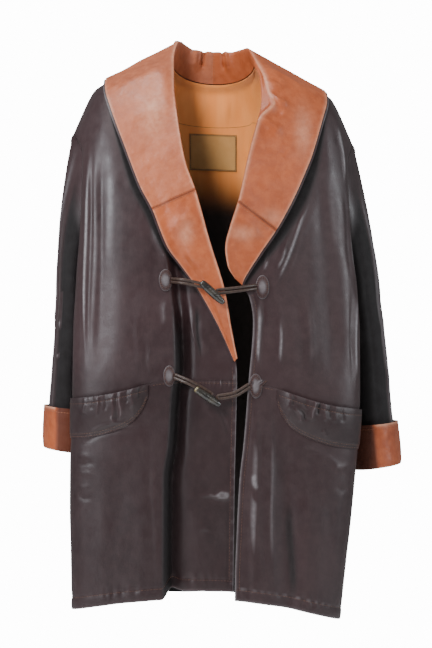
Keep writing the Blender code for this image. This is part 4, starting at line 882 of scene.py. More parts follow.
@dataclass
class Cloth:
    """A piece of leather or cloth for a CAD node, as a grid on its face with the directions out of it."""

    node: str
    face: Array
    out: Array
    closed: bool = False
    shade: Array | None = None

    def at(self, across: Array, up: Array) -> tuple[Array, Array]:
        """Points and outward directions at shares across and up."""
        return read_grid(self.face, across, up), unit(read_grid(self.out, across, up))

    def cells(self) -> Faces:
        """Corner numbers of the grid's cells, turned outward.

        Returns:
            Four corners for each cell.
        """
        rows, columns = self.face.shape[:2]
        last = columns if self.closed else columns - 1
        j, i = np.meshgrid(np.arange(rows - 1), np.arange(last), indexing="ij")
        a, b = (j * columns + i).ravel(), (j * columns + (i + 1) % columns).ravel()
        found = np.stack([a, b, b + columns, a + columns], axis=1)
        flat = self.face.reshape(-1, 3)
        facing = np.cross(flat[found[:, 2]] - flat[found[:, 0]], flat[found[:, 3]] - flat[found[:, 1]])
        if np.sum(facing * self.out.reshape(-1, 3)[found[:, 0]]) < 0:
            found = found[:, ::-1]
        return [tuple(cell) for cell in found.tolist()]

    def rims(self) -> list[list[int]]:
        """Point numbers along each edge of the grid.

        Returns:
            A closed course of numbers for each edge.
        """
        rows, columns = self.face.shape[:2]
        grid = np.arange(rows * columns).reshape(rows, columns)
        if self.closed:
            return [[*grid[0], grid[0, 0]], [*grid[-1], grid[-1, 0]]]
        return [[*grid[0], *grid[1:, -1], *grid[-1, -2::-1], *grid[-2::-1, 0]]]

    def build(
        self, thickness: Array | float, finish: Finish, hold: Hold, rests_on: list[str],
        wear: Array | None = None, unfaded: bool = False,
    ) -> None:
        """Makes the piece a thin closed shell that stands for its CAD node.

        Args:
            thickness: Thickness of the piece, or one for each point.
            finish: Finish of the piece.
            hold: Not used.
            rests_on: Not used.
            wear: How worn each point of the face is, and its painted light: above 0 worn places and painted
                highlights, below 0 painted shade.
            unfaded: Whether the inner side is painted in full shade.
        """
        deep = np.broadcast_to(np.asarray(thickness, float), self.face.shape[:2])[..., None]
        count = self.face.shape[0] * self.face.shape[1]
        cells = self.cells()
        faces = cells + [tuple(n + count for n in cell[::-1]) for cell in cells]
        ways = {(a, b) for cell in cells for a, b in zip(cell, (*cell[1:], cell[0]))}
        for rim in self.rims():
            for a, b in zip(rim, rim[1:]):
                a, b = (a, b) if (a, b) in ways else (b, a)
                faces.append((b, a, a + count, b + count))
        vertices = np.concatenate([self.face.reshape(-1, 3), (self.face - self.out * deep).reshape(-1, 3)])
        worn = None
        if wear is not None:
            # The inner side may be painted in full shade
            worn = np.concatenate([wear.ravel(), np.full(count, -1.0) if unfaded else wear.ravel()])
        slot, stuff = STUFF[finish]
        made = place(add_mesh(f"{self.node}_{stuff}", vertices, faces, finish, worn), slot, self.node)


def face_tree(pieces: list[Cloth]) -> BVHTree:
    """A search tree over the faces of pieces.

    Args:
        pieces: The pieces.

    Returns:
        The tree.
    """
    vertices, faces = [], []
    for piece in pieces:
        start = len(vertices)
        vertices += piece.face.reshape(-1, 3).tolist()
        faces += [tuple(n + start for n in cell) for cell in piece.cells()]
    return BVHTree.FromPolygons(vertices, faces)


def push_off(
    points: Array, tree: BVHTree, least: Array, most: Array | None = None, beside: float = 0.006
) -> Array:
    """Moves points off a surface.

    Args:
        points: The points.
        tree: Search tree over the surface.
        least: Least stand-off for each point.
        most: Largest stand-off for each point.
        beside: How far past the surface's edge a point is still moved.

    Returns:
        The moved points.
    """
    moved = points.copy()
    for _ in range(2):
        for index in np.ndindex(moved.shape[:-1]):
            place, facing, _, far = tree.find_nearest(Vector(moved[index]))
            gap = float(np.dot(moved[index] - np.array(place), facing))
            if far**2 - gap**2 > beside**2:
                continue
            goal = max(gap, least[index])
            if most is not None:
                goal = min(goal, most[index])
            moved[index] += (goal - gap) * np.array(facing)
    return moved


def rod(line: Array, radius: Array | float, sides: int) -> tuple[Array, Faces]:
    """A closed round rod along a line.

    Args:
        line: Points of its middle.
        radius: Radius, or one for each point.
        sides: Points in each ring.

    Returns:
        Points and faces.
    """
    radius = np.broadcast_to(np.asarray(radius, float), (len(line),))
    ahead = unit(np.gradient(line, axis=0))
    across = unit(np.cross(ahead[0], np.array([0.0, 1.0, 0.1])))
    turns = np.linspace(0, 2 * np.pi, sides, endpoint=False)[:, None]
    vertices, faces = [], []
    for n, point in enumerate(line):
        across = unit(across - ahead[n] * np.dot(across, ahead[n]))
        other = np.cross(ahead[n], across)
        vertices.append(point + radius[n] * (np.cos(turns) * across + np.sin(turns) * other))
    for n in range(len(line) - 1):
        for k in range(sides):
            m = (k + 1) % sides
            faces.append((n * sides + k, n * sides + m, (n + 1) * sides + m, (n + 1) * sides + k))
    faces.append(tuple(range(sides))[::-1])
    faces.append(tuple(range((len(line) - 1) * sides, len(line) * sides)))
    return np.concatenate(vertices), faces


@dataclass
class Sewing:
    """Stitches of one group of seams, gathered into one piece."""

    name: str
    finish: Finish
    slot: Slot
    length: float = 0.0036
    gap: float = 0.0014
    radius: float = 0.00042
    places: tuple[float, ...] = (-0.5, -0.32, 0.32, 0.5)
    thickness: tuple[float, ...] = (0.45, 1.0, 1.0, 0.45)
    stand: float = 0.15
    sides: int = 5
    vertices: list[Array] = field(default_factory=list)
    faces: Faces = field(default_factory=list)

    def run(self, line: Array, out: Array) -> None:
        """Sews a row of stitches.

        Args:
            line: Points along the row.
            out: Direction off the leather at each point.
        """
        both = np.concatenate([line, out], axis=1)
        total = float(np.linalg.norm(np.diff(line, axis=0), axis=1).sum())
        count = max(int(total / (self.length + self.gap)), 1)
        share = self.length / (self.length + self.gap) / count
        shape = np.array(self.places)
        thick = self.radius * np.array(self.thickness)
        lift = self.stand * self.radius
        for n in range(count):
            spots = spaced(both, (n + 0.5) / count + shape * share)
            points, faces = rod(spots[:, :3] + lift * unit(spots[:, 3:]), thick, self.sides)
            self.faces += [tuple(k + self.size() for k in face) for face in faces]
            self.vertices.append(points)

    def size(self) -> int:
        """Number of points sewn so far."""
        return sum(len(points) for points in self.vertices)

    def build(self) -> None:
        """Makes the stitches one piece."""
        made = add_mesh(self.name, np.concatenate(self.vertices), self.faces, self.finish)
        place(made, self.slot)


def place(made: Object, slot: Slot, *nodes: str) -> Object:
    """Lets a piece ride on the garment.

    Args:
        made: The piece.
        slot: Material slot it belongs to.
        nodes: CAD nodes that it stands for.

    Returns:
        The piece.
    """
    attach(made, ROOT)
    if nodes:
        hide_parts(*nodes)
    LOG.info("%s: %d faces, %s", made.name, len(made.data.polygons), slot.value)
    return made


@dataclass
class TorsoForm:
    """Form of the torso that fronts and back are cut from."""

    tip_out: float = 0.2365
    tip_z: float = -0.096
    underarm_z: float = -0.300
    underarm_y: float = 0.012
    underarm_up: float = 0.72
    front_bow: float = 0.048
    back_bow: float = 0.066
    back_inset: float = 0.006
    neck_half: float = 0.070
    neck_scoop_y: float = 0.072
    neck_scoop_z: float = 0.028
    roundness: float = 2.6
    wrap_angle: float = math.radians(60)
    ridge_softness: float = 0.017
    gully_offset: float = 0.014
    gully_width: float = 0.013
    back_hem_rise: float = 0.30
    hem_lift: float = 0.45
    hem_lift_top: float = -0.60
    hem_lift_span: float = 0.25
    fold_fade: float = 0.090
    even_up: float = 0.74
    even_span: float = 0.075
    even_reach: float = 0.034
    even_edge: float = 0.16
    crease_share: float = 0.32
    crease_ends: float = 0.36
    # Painted shade low on the fronts, and in a band along the collar's outer edge
    low_dark: dict[Side, float] = sided(0.24, 0.03)
    low_top: float = -0.44
    low_span: float = 0.10
    band_edge: float = 1.15
    band_soft: float = 0.55
    band_wide: dict[Side, float] = sided(1.0, 1.4)
    shade_span: float = 0.0060
    collar_rows: Pair = (4.0, 11.0)
    side_fade: float = 0.45
    crease_fade: float = 0.30
    top_fade: float = 0.03
    edge_fade: float = 0.02
    back_top_fade: float = 0.04
    ripple_height: float = 0.00016
    ripple_shift: float = 0.3
    back_ripple_shift: float = 0.9
    scoop_y_power: int = 6
    scoop_z_power: int = 2
    first_out: float = 0.05
    tries: int = 24
    front_points: int = 200
    bend_points: int = 80
    back_points: int = 160
    band_points: int = 70
    rows: int = 361
    columns: int = 241

    def silhouette(self, side: Side, z: float) -> Array:
        """How far out the torso reaches at a height."""
        return curve(SILHOUETTE, side.word, z)

    def armhole(self, side: Side, turn: float, facing: int) -> tuple[float, float, float]:
        """Finds a point of the armhole.

        Args:
            side: Side of the garment.
            turn: 0 at the shoulder tip to 1 at the underarm.
            facing: -1 for its front, 1 for its back.

        Returns:
            Distance out, y and z.
        """
        fall = (1 - math.cos(math.pi * turn)) / 2
        tuck = float(np.interp(self.underarm_up, BODY["up"], BODY["tuck"]))
        reach = float(self.silhouette(side, self.underarm_z)) - tuck - self.tip_out
        bow = math.sin(math.pi * turn)
        y = self.underarm_y * turn
        if facing < 0:
            out = self.tip_out + reach * float(curve(ARMHOLE, "share", turn))
            y -= self.front_bow * bow
        else:
            out = self.tip_out + reach * fall - self.back_inset * bow
            y += self.back_bow * bow
        return out, y, self.tip_z + (self.underarm_z - self.tip_z) * fall

    def row(self, side: Side, up: float, facing: int) -> dict[str, float]:
        """Finds the sizes of the torso at a share of the way up.

        Args:
            side: Side of the garment.
            up: Share of the way from hem to shoulder.
            facing: -1 for the front, 1 for the back.

        Returns:
            Sizes by name.
        """
        found = {name: float(curve(BODY, name, up)) for name in BODY}
        if up >= self.underarm_up:
            turn = (1 - up) / (1 - self.underarm_up)
            found["out"], found["y"], found["z"] = self.armhole(side, turn, facing)
            found["half"] = found["out"] + found["tuck"]
        else:
            found["half"] = float(self.silhouette(side, found["side_z"]))
            found["out"] = found["half"] - found["tuck"]
            found["y"] = self.underarm_y
            found["z"] = found["side_z"]
        return found

    def height(self, row: dict[str, float], out: Array | float, reach: float) -> Array:
        """Finds heights along a row, which slopes with the shoulder in its upper part.

        Args:
            row: Sizes of the row.
            out: Distances from the middle.
            reach: Distance of the row's end.

        Returns:
            A height for each distance.
        """
        share = np.abs(out) / reach
        slope = curve(SHOULDER, "z", share * self.tip_out) - self.tip_z
        return row["z"] + row["rise"] * (1 - share**2) + row["share"] * slope

    def front_line(self, side: Side, up: float) -> Array:
        """Draws one row of a front from the opening to its side edge.

        Args:
            side: Side of the garment.
            up: Share of the way up.

        Returns:
            Rows of out, y, z and the share that faces the front.
        """
        row = self.row(side, up, -1)
        half = row["half"]
        inner = self.first_out
        for _ in range(self.tries):
            inner = float(curve(OPENINGS[side], "out", self.height(row, inner, half)))
        out = inner + (half - inner) * np.sin(np.linspace(0, np.pi / 2, self.front_points))
        face = np.maximum(1 - np.abs(out / half) ** self.roundness, 0) ** (1 / self.roundness)
        turn_y = row["y"] - row["wrap"]
        y = turn_y + (row["front_y"] - turn_y) * face
        angle = np.linspace(0, self.wrap_angle, self.bend_points)[1:]
        round_out = half - row["tuck"] * (1 - np.cos(angle)) / (1 - math.cos(self.wrap_angle))
        round_y = turn_y + row["wrap"] * np.sin(angle) / math.sin(self.wrap_angle)
        flat = np.stack([out, y, self.height(row, out, half), face], axis=1)
        bend = np.stack([round_out, round_y, np.full_like(angle, row["z"]), np.zeros_like(angle)], axis=1)
        return np.concatenate([flat, bend])

    def back_line(self, side: Side, up: float) -> list[Array]:
        """Draws half a row of the back from the middle to its side edge.

        Args:
            side: Side of the garment.
            up: Share of the way up.

        Returns:
            The part below the neck and the part beside it.
        """
        row = self.row(side, up, 1)
        row["rise"] *= self.back_hem_rise
        reach = row["out"]
        stop = self.neck_half * reach / self.tip_out
        parts = []
        for start, end in ((0.0, stop), (stop, reach)):
            turn = np.linspace(math.asin(start / reach), math.asin(end / reach), self.back_points)
            out = reach * np.sin(turn)
            face = np.maximum(1 - (out / reach) ** self.roundness, 0) ** (1 / self.roundness)
            scoop = np.sqrt(np.maximum(1 - (out / stop) ** 2, 0))
            y = row["y"] + (row["back_y"] - row["y"]) * face
            y += self.neck_scoop_y * scoop * row["share"] ** self.scoop_y_power
            z = self.height(row, out, reach)
            z -= self.neck_scoop_z * scoop * row["share"] ** self.scoop_z_power
            parts.append(np.stack([out, y, z, face], axis=1))
        return parts

    def fold_height(self, folds: Table, out: Array, z: Array) -> Array:
        """Sums the long folds of a panel.

        Args:
            folds: Table of the folds.
            out, z: Place across and height.

        Returns:
            How far each place stands out.
        """
        total = np.zeros_like(out)
        for top_out, top_z, low_out, low_z, width, height in zip(*folds.values()):
            down = np.clip(top_z - z, 0, None)
            middle = top_out + (low_out - top_out) * down / (top_z - low_z)
            fade = ease(down / self.fold_fade)
            if low_z >= BODY["side_z"][0]:
                fade = fade * ease((z - low_z) / self.fold_fade)
            total += height * fade * bell(out - middle, width)
        return total

    def ridge_drop(self, out: Array, z: Array) -> Array:
        """Finds how far the right front drops back past the fold with the patches.

        Args:
            out, z: Place across and height.

        Returns:
            A drop for each place.
        """
        ridge, drop, gully = (curve(RIDGE, c, z) for c in ("out", "drop", "gully"))
        inside = ease((ridge - out) / self.ridge_softness)
        trough = bell(out - ridge + self.gully_offset, self.gully_width)
        return drop * inside + gully * trough * inside

    def even(self, lines: Array, ups: Array, edge: Array) -> Array:
        """Evens out rows about the underarm, all but the side edges."""
        near = bell(ups - self.even_up, self.even_span)[:, None] * ease(edge / self.even_edge)
        return lines + near[..., None] * (even_rows(lines, ups, self.even_reach) - lines)

    def beside_collar(self, side: Side, out: Array, z: Array) -> Array:
        """Finds the band of painted shade along the outer edge of the collar.

        Args:
            side: Side of the garment.
            out, z: Place across and height.

        Returns:
            Share of the band at each place.
        """
        rows = COLLARS[side]
        along = np.linspace(*self.collar_rows, self.band_points)
        numbers = np.arange(len(rows["edge_z"]))
        edge_out, edge_z = (smooth(numbers, rows[c], along) for c in ("edge_out", "edge_z"))
        far = np.stack([np.hypot(line_out[:, None] - edge_out, line_z[:, None] - edge_z).min(axis=1)
                        for line_out, line_z in zip(out, z)])
        width = self.band_wide[side] * curve(COLLAR_SHADE_BAND, "width", z)
        return ease((self.band_edge - far / width) / self.band_soft)

    def front(self, side: Side) -> Sheet:
        """Works out the front of one side with its folds and creases.

        Args:
            side: Side of the garment.

        Returns:
            The sheet, from opening to side and hem to shoulder.
        """
        shares = np.linspace(0, 1, self.columns)
        ups = np.linspace(0, 1, self.rows)
        lines = np.stack([spaced(self.front_line(side, up), shares) for up in ups])
        lines = self.even(lines, ups, 1 - shares)
        out, y, z, face = np.moveaxis(lines, 2, 0)
        y = y - self.fold_height(FOLDS[side], out, z) * ease(face / self.side_fade)
        crease = Creases(FRONT_CREASES[side], self.crease_ends).height(out, z)
        crease = crease * ease(face / self.crease_fade)
        # Painted highlights on crease ridges and painted shade in their hollows, more painted shade low on
        # the front and in the band along the collar
        shade = shade_of(crease, self.shade_span)
        shade = shade - self.low_dark[side] * ease((self.low_top - z) / self.low_span)
        shade = shade - (1 + shade) * self.beside_collar(side, out, z)
        waves = ripple(out + self.ripple_shift * side.value, z)
        crease = self.crease_share * crease + self.ripple_height * waves
        if side is Side.RIGHT:
            drop = self.ridge_drop(out, z)
            y = y + drop
            z = z + self.hem_lift * drop * ease((self.hem_lift_top - z) / self.hem_lift_span)
        points = np.stack([side.value * out, y, z], axis=2)
        facing = square(points, np.array([0.0, -1.0, 0.0]))
        crease[-1] = 0.0
        fade = ease((1 - ups) / self.top_fade)[:, None] * ease((1 - shares) / self.edge_fade)[None, :]
        return Sheet(points + facing * (crease * fade)[..., None], facing, shade, side)

    def back(self, ups: Array, inner: int, outer: int) -> Cloth:
        """Works out the back from side seam to side seam.

        Args:
            ups: Shares of the way up.
            inner: Columns on each side below the neck.
            outer: Columns on each side beside it.

        Returns:
            The back with its folds and creases.
        """
        halves = []
        for side in Side:
            rows = []
            for up in ups:
                parts = self.back_line(side, up)
                near = spaced(parts[0], np.linspace(0, 1, inner + 1))
                far = spaced(parts[1], np.linspace(0, 1, outer + 1)[1:])
                rows.append(np.concatenate([near, far]))
            grid = np.stack(rows)
            grid[..., 0] *= side.value
            halves.append(grid)
        lines = np.concatenate([halves[0][:, :0:-1], halves[1]], axis=1)
        edge = 1 - np.abs(np.linspace(-1, 1, lines.shape[1]))
        x, y, z, face = np.moveaxis(self.even(lines, ups, edge), 2, 0)
        y = y + self.fold_height(BACK_FOLDS, x, z) * ease(face / self.side_fade)
        points = np.stack([x, y, z], axis=2)
        facing = square(points, np.array([0.0, 1.0, 0.0]))
        crease = Creases(BACK_CREASES, self.crease_ends).height(x, z) * ease(face / self.crease_fade)
        # Painted highlights on crease ridges and painted shade in their hollows
        shade = shade_of(crease, self.shade_span)
        crease = self.crease_share * crease
        crease += self.ripple_height * ripple(x + self.back_ripple_shift, z) * ease(face / self.crease_fade)
        crease *= ease((1 - ups) / self.back_top_fade)[:, None]
        return Cloth("back", points + facing * crease[..., None], facing, shade=shade)


@dataclass
class Fronts:
    """The two fronts, each cut at the waist seam."""

    form: TorsoForm
    leather: float = 0.0016
    turned: float = 0.0010
    worn: float = 0.5
    worn_edge: float = 0.004
    end_fade: float = 0.012
    edge_stitch: float = 0.0075
    hem_stitch: float = 0.0190
    seam_stitch: float = 0.0035
    stitch_stop: float = 0.006
    pillow: float = 0.0007
    groove: float = 0.0007
    groove_width: float = 0.0016
    pucker: float = 0.0012
    pucker_off: float = 0.0045
    pucker_span: float = 0.009
    gather_below: float = 0.004
    gather_span: float = 0.006
    gather_to: float = 0.030
    gather_fade: float = 0.02
    # Painted highlights of the puckers, and painted shade of the recess
    pale_off: float = 0.001
    pale_width: float = 0.0022
    pucker_pale: float = 0.42
    recess_dark: float = 0.048
    recess_top: float = -0.36
    recess_soft: float = 0.005
    recess_fade: float = 0.08
    recess_shade: float = 0.85
    side_fade: float = 0.015
    seam_gap: float = 0.0002
    collar_ends: dict[Side, float] = sided(-0.462, -0.345)
    columns: int = 150
    lower_rows: int = 120
    upper_rows: int = 150
    pocket_corner: float = 0.104
    hem_waves: Triple = (430.0, 2.2, 71.0)
    hem_vary: float = 0.4
    hem_vary_rate: float = 53.0
    gather_waves: Triple = (1250.0, 2.0, 190.0)
    edge_waves: Triple = (310.0, 2.0, 47.0)
    pale_least: float = 0.3
    recess_reach: float = 1.1
    turned_reach: float = 1.4
    waist_points: int = 61
    waist_first: float = 0.47
    waist_tries: int = 6
    stitch_points: int = 240
    stitch_end: float = 0.004
    sheets: dict[Side, Sheet] = field(default_factory=dict)
    pieces: dict[str, Cloth] = field(default_factory=dict)

    def waist(self, sheet: Sheet) -> tuple[Array, Array]:
        """Finds the waist seam on a front.

        Args:
            sheet: The front.

        Returns:
            Shares across, and the share up at each.
        """
        shares = np.linspace(0, 1, self.waist_points)
        found = []
        for across in shares:
            up = self.waist_first
            for _ in range(self.waist_tries):
                spot = sheet.at(np.array([across]), np.array([up]))[0][0]
                up = sheet.up_at(across, float(curve(WAIST, "z", spot[0] * sheet.side.value)))
            found.append(up)
        return shares, np.array(found)

    def turned_edge(self, off: Array, stitch: float) -> Array:
        """Finds how far a turned and stitched edge stands out."""
        swell = self.pillow * np.sin(np.pi * np.clip(off / stitch, 0, 1))
        return swell - self.groove * bell(off - stitch, self.groove_width)

    def finish_edges(self, sheet: Sheet) -> None:
        """Works the turned edges and the puckers of hem and waist seam into a front, with painted highlights
        on the puckers and painted shade in the recess.

        Args:
            sheet: The front.
        """
        points = sheet.points
        out, z = points[..., 0] * sheet.side.value, points[..., 2]
        below = ease((self.collar_ends[sheet.side] - z) / self.end_fade)
        across = lengths(points, 1)
        lift = self.turned_edge(across, self.edge_stitch) * below
        hem = lengths(points, 0)
        lift += self.turned_edge(hem, self.hem_stitch)
        near = bell(hem - self.hem_stitch, self.pucker_span)
        vary = self.hem_vary * np.sin(self.hem_vary_rate * out)
        waves = uneven(out, self.hem_waves) * (1 - self.hem_vary + vary)
        lift += self.pucker * near * waves
        seam = z - curve(WAIST, "z", out)
        lift -= self.groove * bell(seam, self.groove_width)
        gathers = uneven(out, self.gather_waves)
        gathers *= bell(seam + self.gather_below, self.gather_span)
        gathers *= ease((self.gather_to - out) / self.gather_fade)
        lift += self.pucker * gathers
        lift *= ease((across[:, -1:] - across) / self.side_fade)
        sheet.points = points + sheet.out * lift[..., None]
        # Painted highlights on the hem puckers, and on the right front also along the opening edge and on
        # the waist gathers
        pale = bell(hem - self.hem_stitch - self.pale_off, self.pale_width)
        pale *= np.clip(self.pale_least + (1 - self.pale_least) * waves, 0, 1)
        if sheet.side is Side.RIGHT:
            edge = bell(across - self.pucker_off, self.pale_width) * below
            pale += edge * np.clip(uneven(z, self.edge_waves), 0, 1) + np.clip(gathers, 0, 1)
            # Painted shade in the recess beside the fold with the patches
            inside = curve(RIDGE, "out", z) - out
            dark = ease(self.recess_reach - inside / self.recess_dark) * ease(inside / self.recess_soft)
            dark = dark * ease((self.recess_top - z) / self.recess_fade)
            sheet.shade = sheet.shade - self.recess_shade * (1 + np.minimum(sheet.shade, 0)) * dark
        sheet.shade = np.clip(sheet.shade + self.pucker_pale * pale, -1, 1)

    def build(self) -> None:
        """Cuts the four panels and dresses them."""
        across = np.linspace(0, 1, self.columns + 1)
        for side in Side:
            sheet = self.form.front(side)
            self.finish_edges(sheet)
            self.sheets[side] = sheet
            waist = np.interp(across, *self.waist(sheet))
            low = np.linspace(0, 1, self.lower_rows + 1)[:, None] * (waist - self.seam_gap)[None, :]
            rest = np.linspace(0, 1, self.upper_rows + 1)[:, None]
            high = waist[None, :] + self.seam_gap + (1 - waist[None, :] - self.seam_gap) * rest
            for part, up in (("lower", low), ("upper", high)):
                node = f"front_{side.word}_{part}"
                cloth = Cloth(node, *sheet.at(np.broadcast_to(across, up.shape), up))
                self.pieces[node] = cloth
                edge = lengths(cloth.face, 1)
                hem = lengths(cloth.face, 0) if part == "lower" else np.full(up.shape, 1.0)
                free = ease((self.collar_ends[side] - cloth.face[..., 2]) / self.end_fade)
                close = np.maximum(ease(1 - edge / self.worn_edge) * free, ease(1 - hem / self.worn_edge))
                double = np.maximum(ease(self.turned_reach - edge / self.edge_stitch) * free,
                                    ease(self.turned_reach - hem / self.hem_stitch))
                thick = self.leather + self.turned * double
                # Painted highlights and shade of the sheet, left off the worn edges
                shade = sheet.shade_at(np.broadcast_to(across, up.shape), up) * (1 - close)
                above = [f"front_{side.word}_upper"]
                if part == "upper":
                    above = [f"sleeve_{side.word}", "back_upper"]
                cloth.build(thick, DARK, Hold.HUNG, above, self.worn * close + shade, unfaded=True)

    def sew(self) -> None:
        """Sews the front edges, the hem and the waist seam."""
        sewing = Sewing("stitching_fronts", THREAD, Slot.DARK)
        shares = np.linspace(0, 1, self.stitch_points)
        short = self.stitch_end + (1 - 2 * self.stitch_end) * shares
        for side in Side:
            lower, upper = (self.pieces[f"front_{side.word}_{part}"] for part in ("lower", "upper"))
            long = lengths(lower.face, 0)[-1].mean()
            sewing.run(*lower.at(short, np.full_like(shares, self.hem_stitch / long)))
            for cloth in (lower, upper):
                wide = lengths(cloth.face, 1)[:, -1]
                off = self.edge_stitch / np.interp(shares, np.linspace(0, 1, len(wide)), wide)
                points, out = cloth.at(off, shares)
                keep = points[:, 2] < self.collar_ends[side] - self.stitch_stop
                if cloth is lower:
                    keep &= shares > self.hem_stitch / long
                sewing.run(points[keep], out[keep])
            points, out = lower.at(shares, np.full_like(shares, 1 - self.seam_stitch / long))
            keep = points[:, 0] * side.value < self.pocket_corner - self.stitch_stop
            sewing.run(points[keep], out[keep])
        sewing.build()


@dataclass
class Back:
    """The back, cut at the waist seam as the fronts are."""

    form: TorsoForm
    leather: float = 0.0016
    hem_stitch: float = 0.0190
    seam_stitch: float = 0.0035
    groove: float = 0.0007
    groove_width: float = 0.0016
    side_fade: float = 0.015
    worn: float = 0.5
    worn_edge: float = 0.004
    rows: int = 150
    inner: int = 18
    outer: int = 38
    stitch_points: int = 260
    stitch_end: float = 0.004
    cloth: Cloth | None = None
    pieces: dict[str, Cloth] = field(default_factory=dict)

    def build(self, waist_up: float) -> None:
        """Cuts the two pieces and dresses them.

        Args:
            waist_up: Share of the way up at which the waist seam meets the sides.
        """
        self.cloth = self.form.back(np.linspace(0, 1, self.rows + 1), self.inner, self.outer)
        seam = round(waist_up * self.rows)
        hem = lengths(self.cloth.face, 0)
        groove = sum(bell(hem - at, self.groove_width) for at in (self.hem_stitch, hem[seam]))
        wide = lengths(self.cloth.face, 1)
        groove = groove * ease(wide / self.side_fade) * ease((wide[:, -1:] - wide) / self.side_fade)
        self.cloth.face = self.cloth.face - self.cloth.out * (self.groove * groove)[..., None]
        # Worn hem, plus the painted highlights and shade of the creases
        wear = self.worn * ease(1 - hem / self.worn_edge) + self.cloth.shade
        collars = ["collar_right_upper", "collar_left_upper"]
        for part, rows, above in (
            ("lower", slice(0, seam + 1), ["back_upper"]), ("upper", slice(seam, None), collars),
        ):
            node = f"back_{part}"
            piece = Cloth(node, self.cloth.face[rows], self.cloth.out[rows])
            self.pieces[node] = piece
            piece.build(self.leather, DARK, Hold.HUNG, above, wear[rows], unfaded=True)

    def sew(self) -> None:
        """Sews the hem and the waist seam of the back."""
        sewing = Sewing("stitching_back", THREAD, Slot.DARK)
        shares = np.linspace(self.stitch_end, 1 - self.stitch_end, self.stitch_points)
        lower = self.pieces["back_lower"]
        long = lengths(lower.face, 0)[-1].mean()
        for up in (self.hem_stitch / long, 1 - self.seam_stitch / long):
            sewing.run(*lower.at(shares, np.full_like(shares, up)))
        sewing.build()


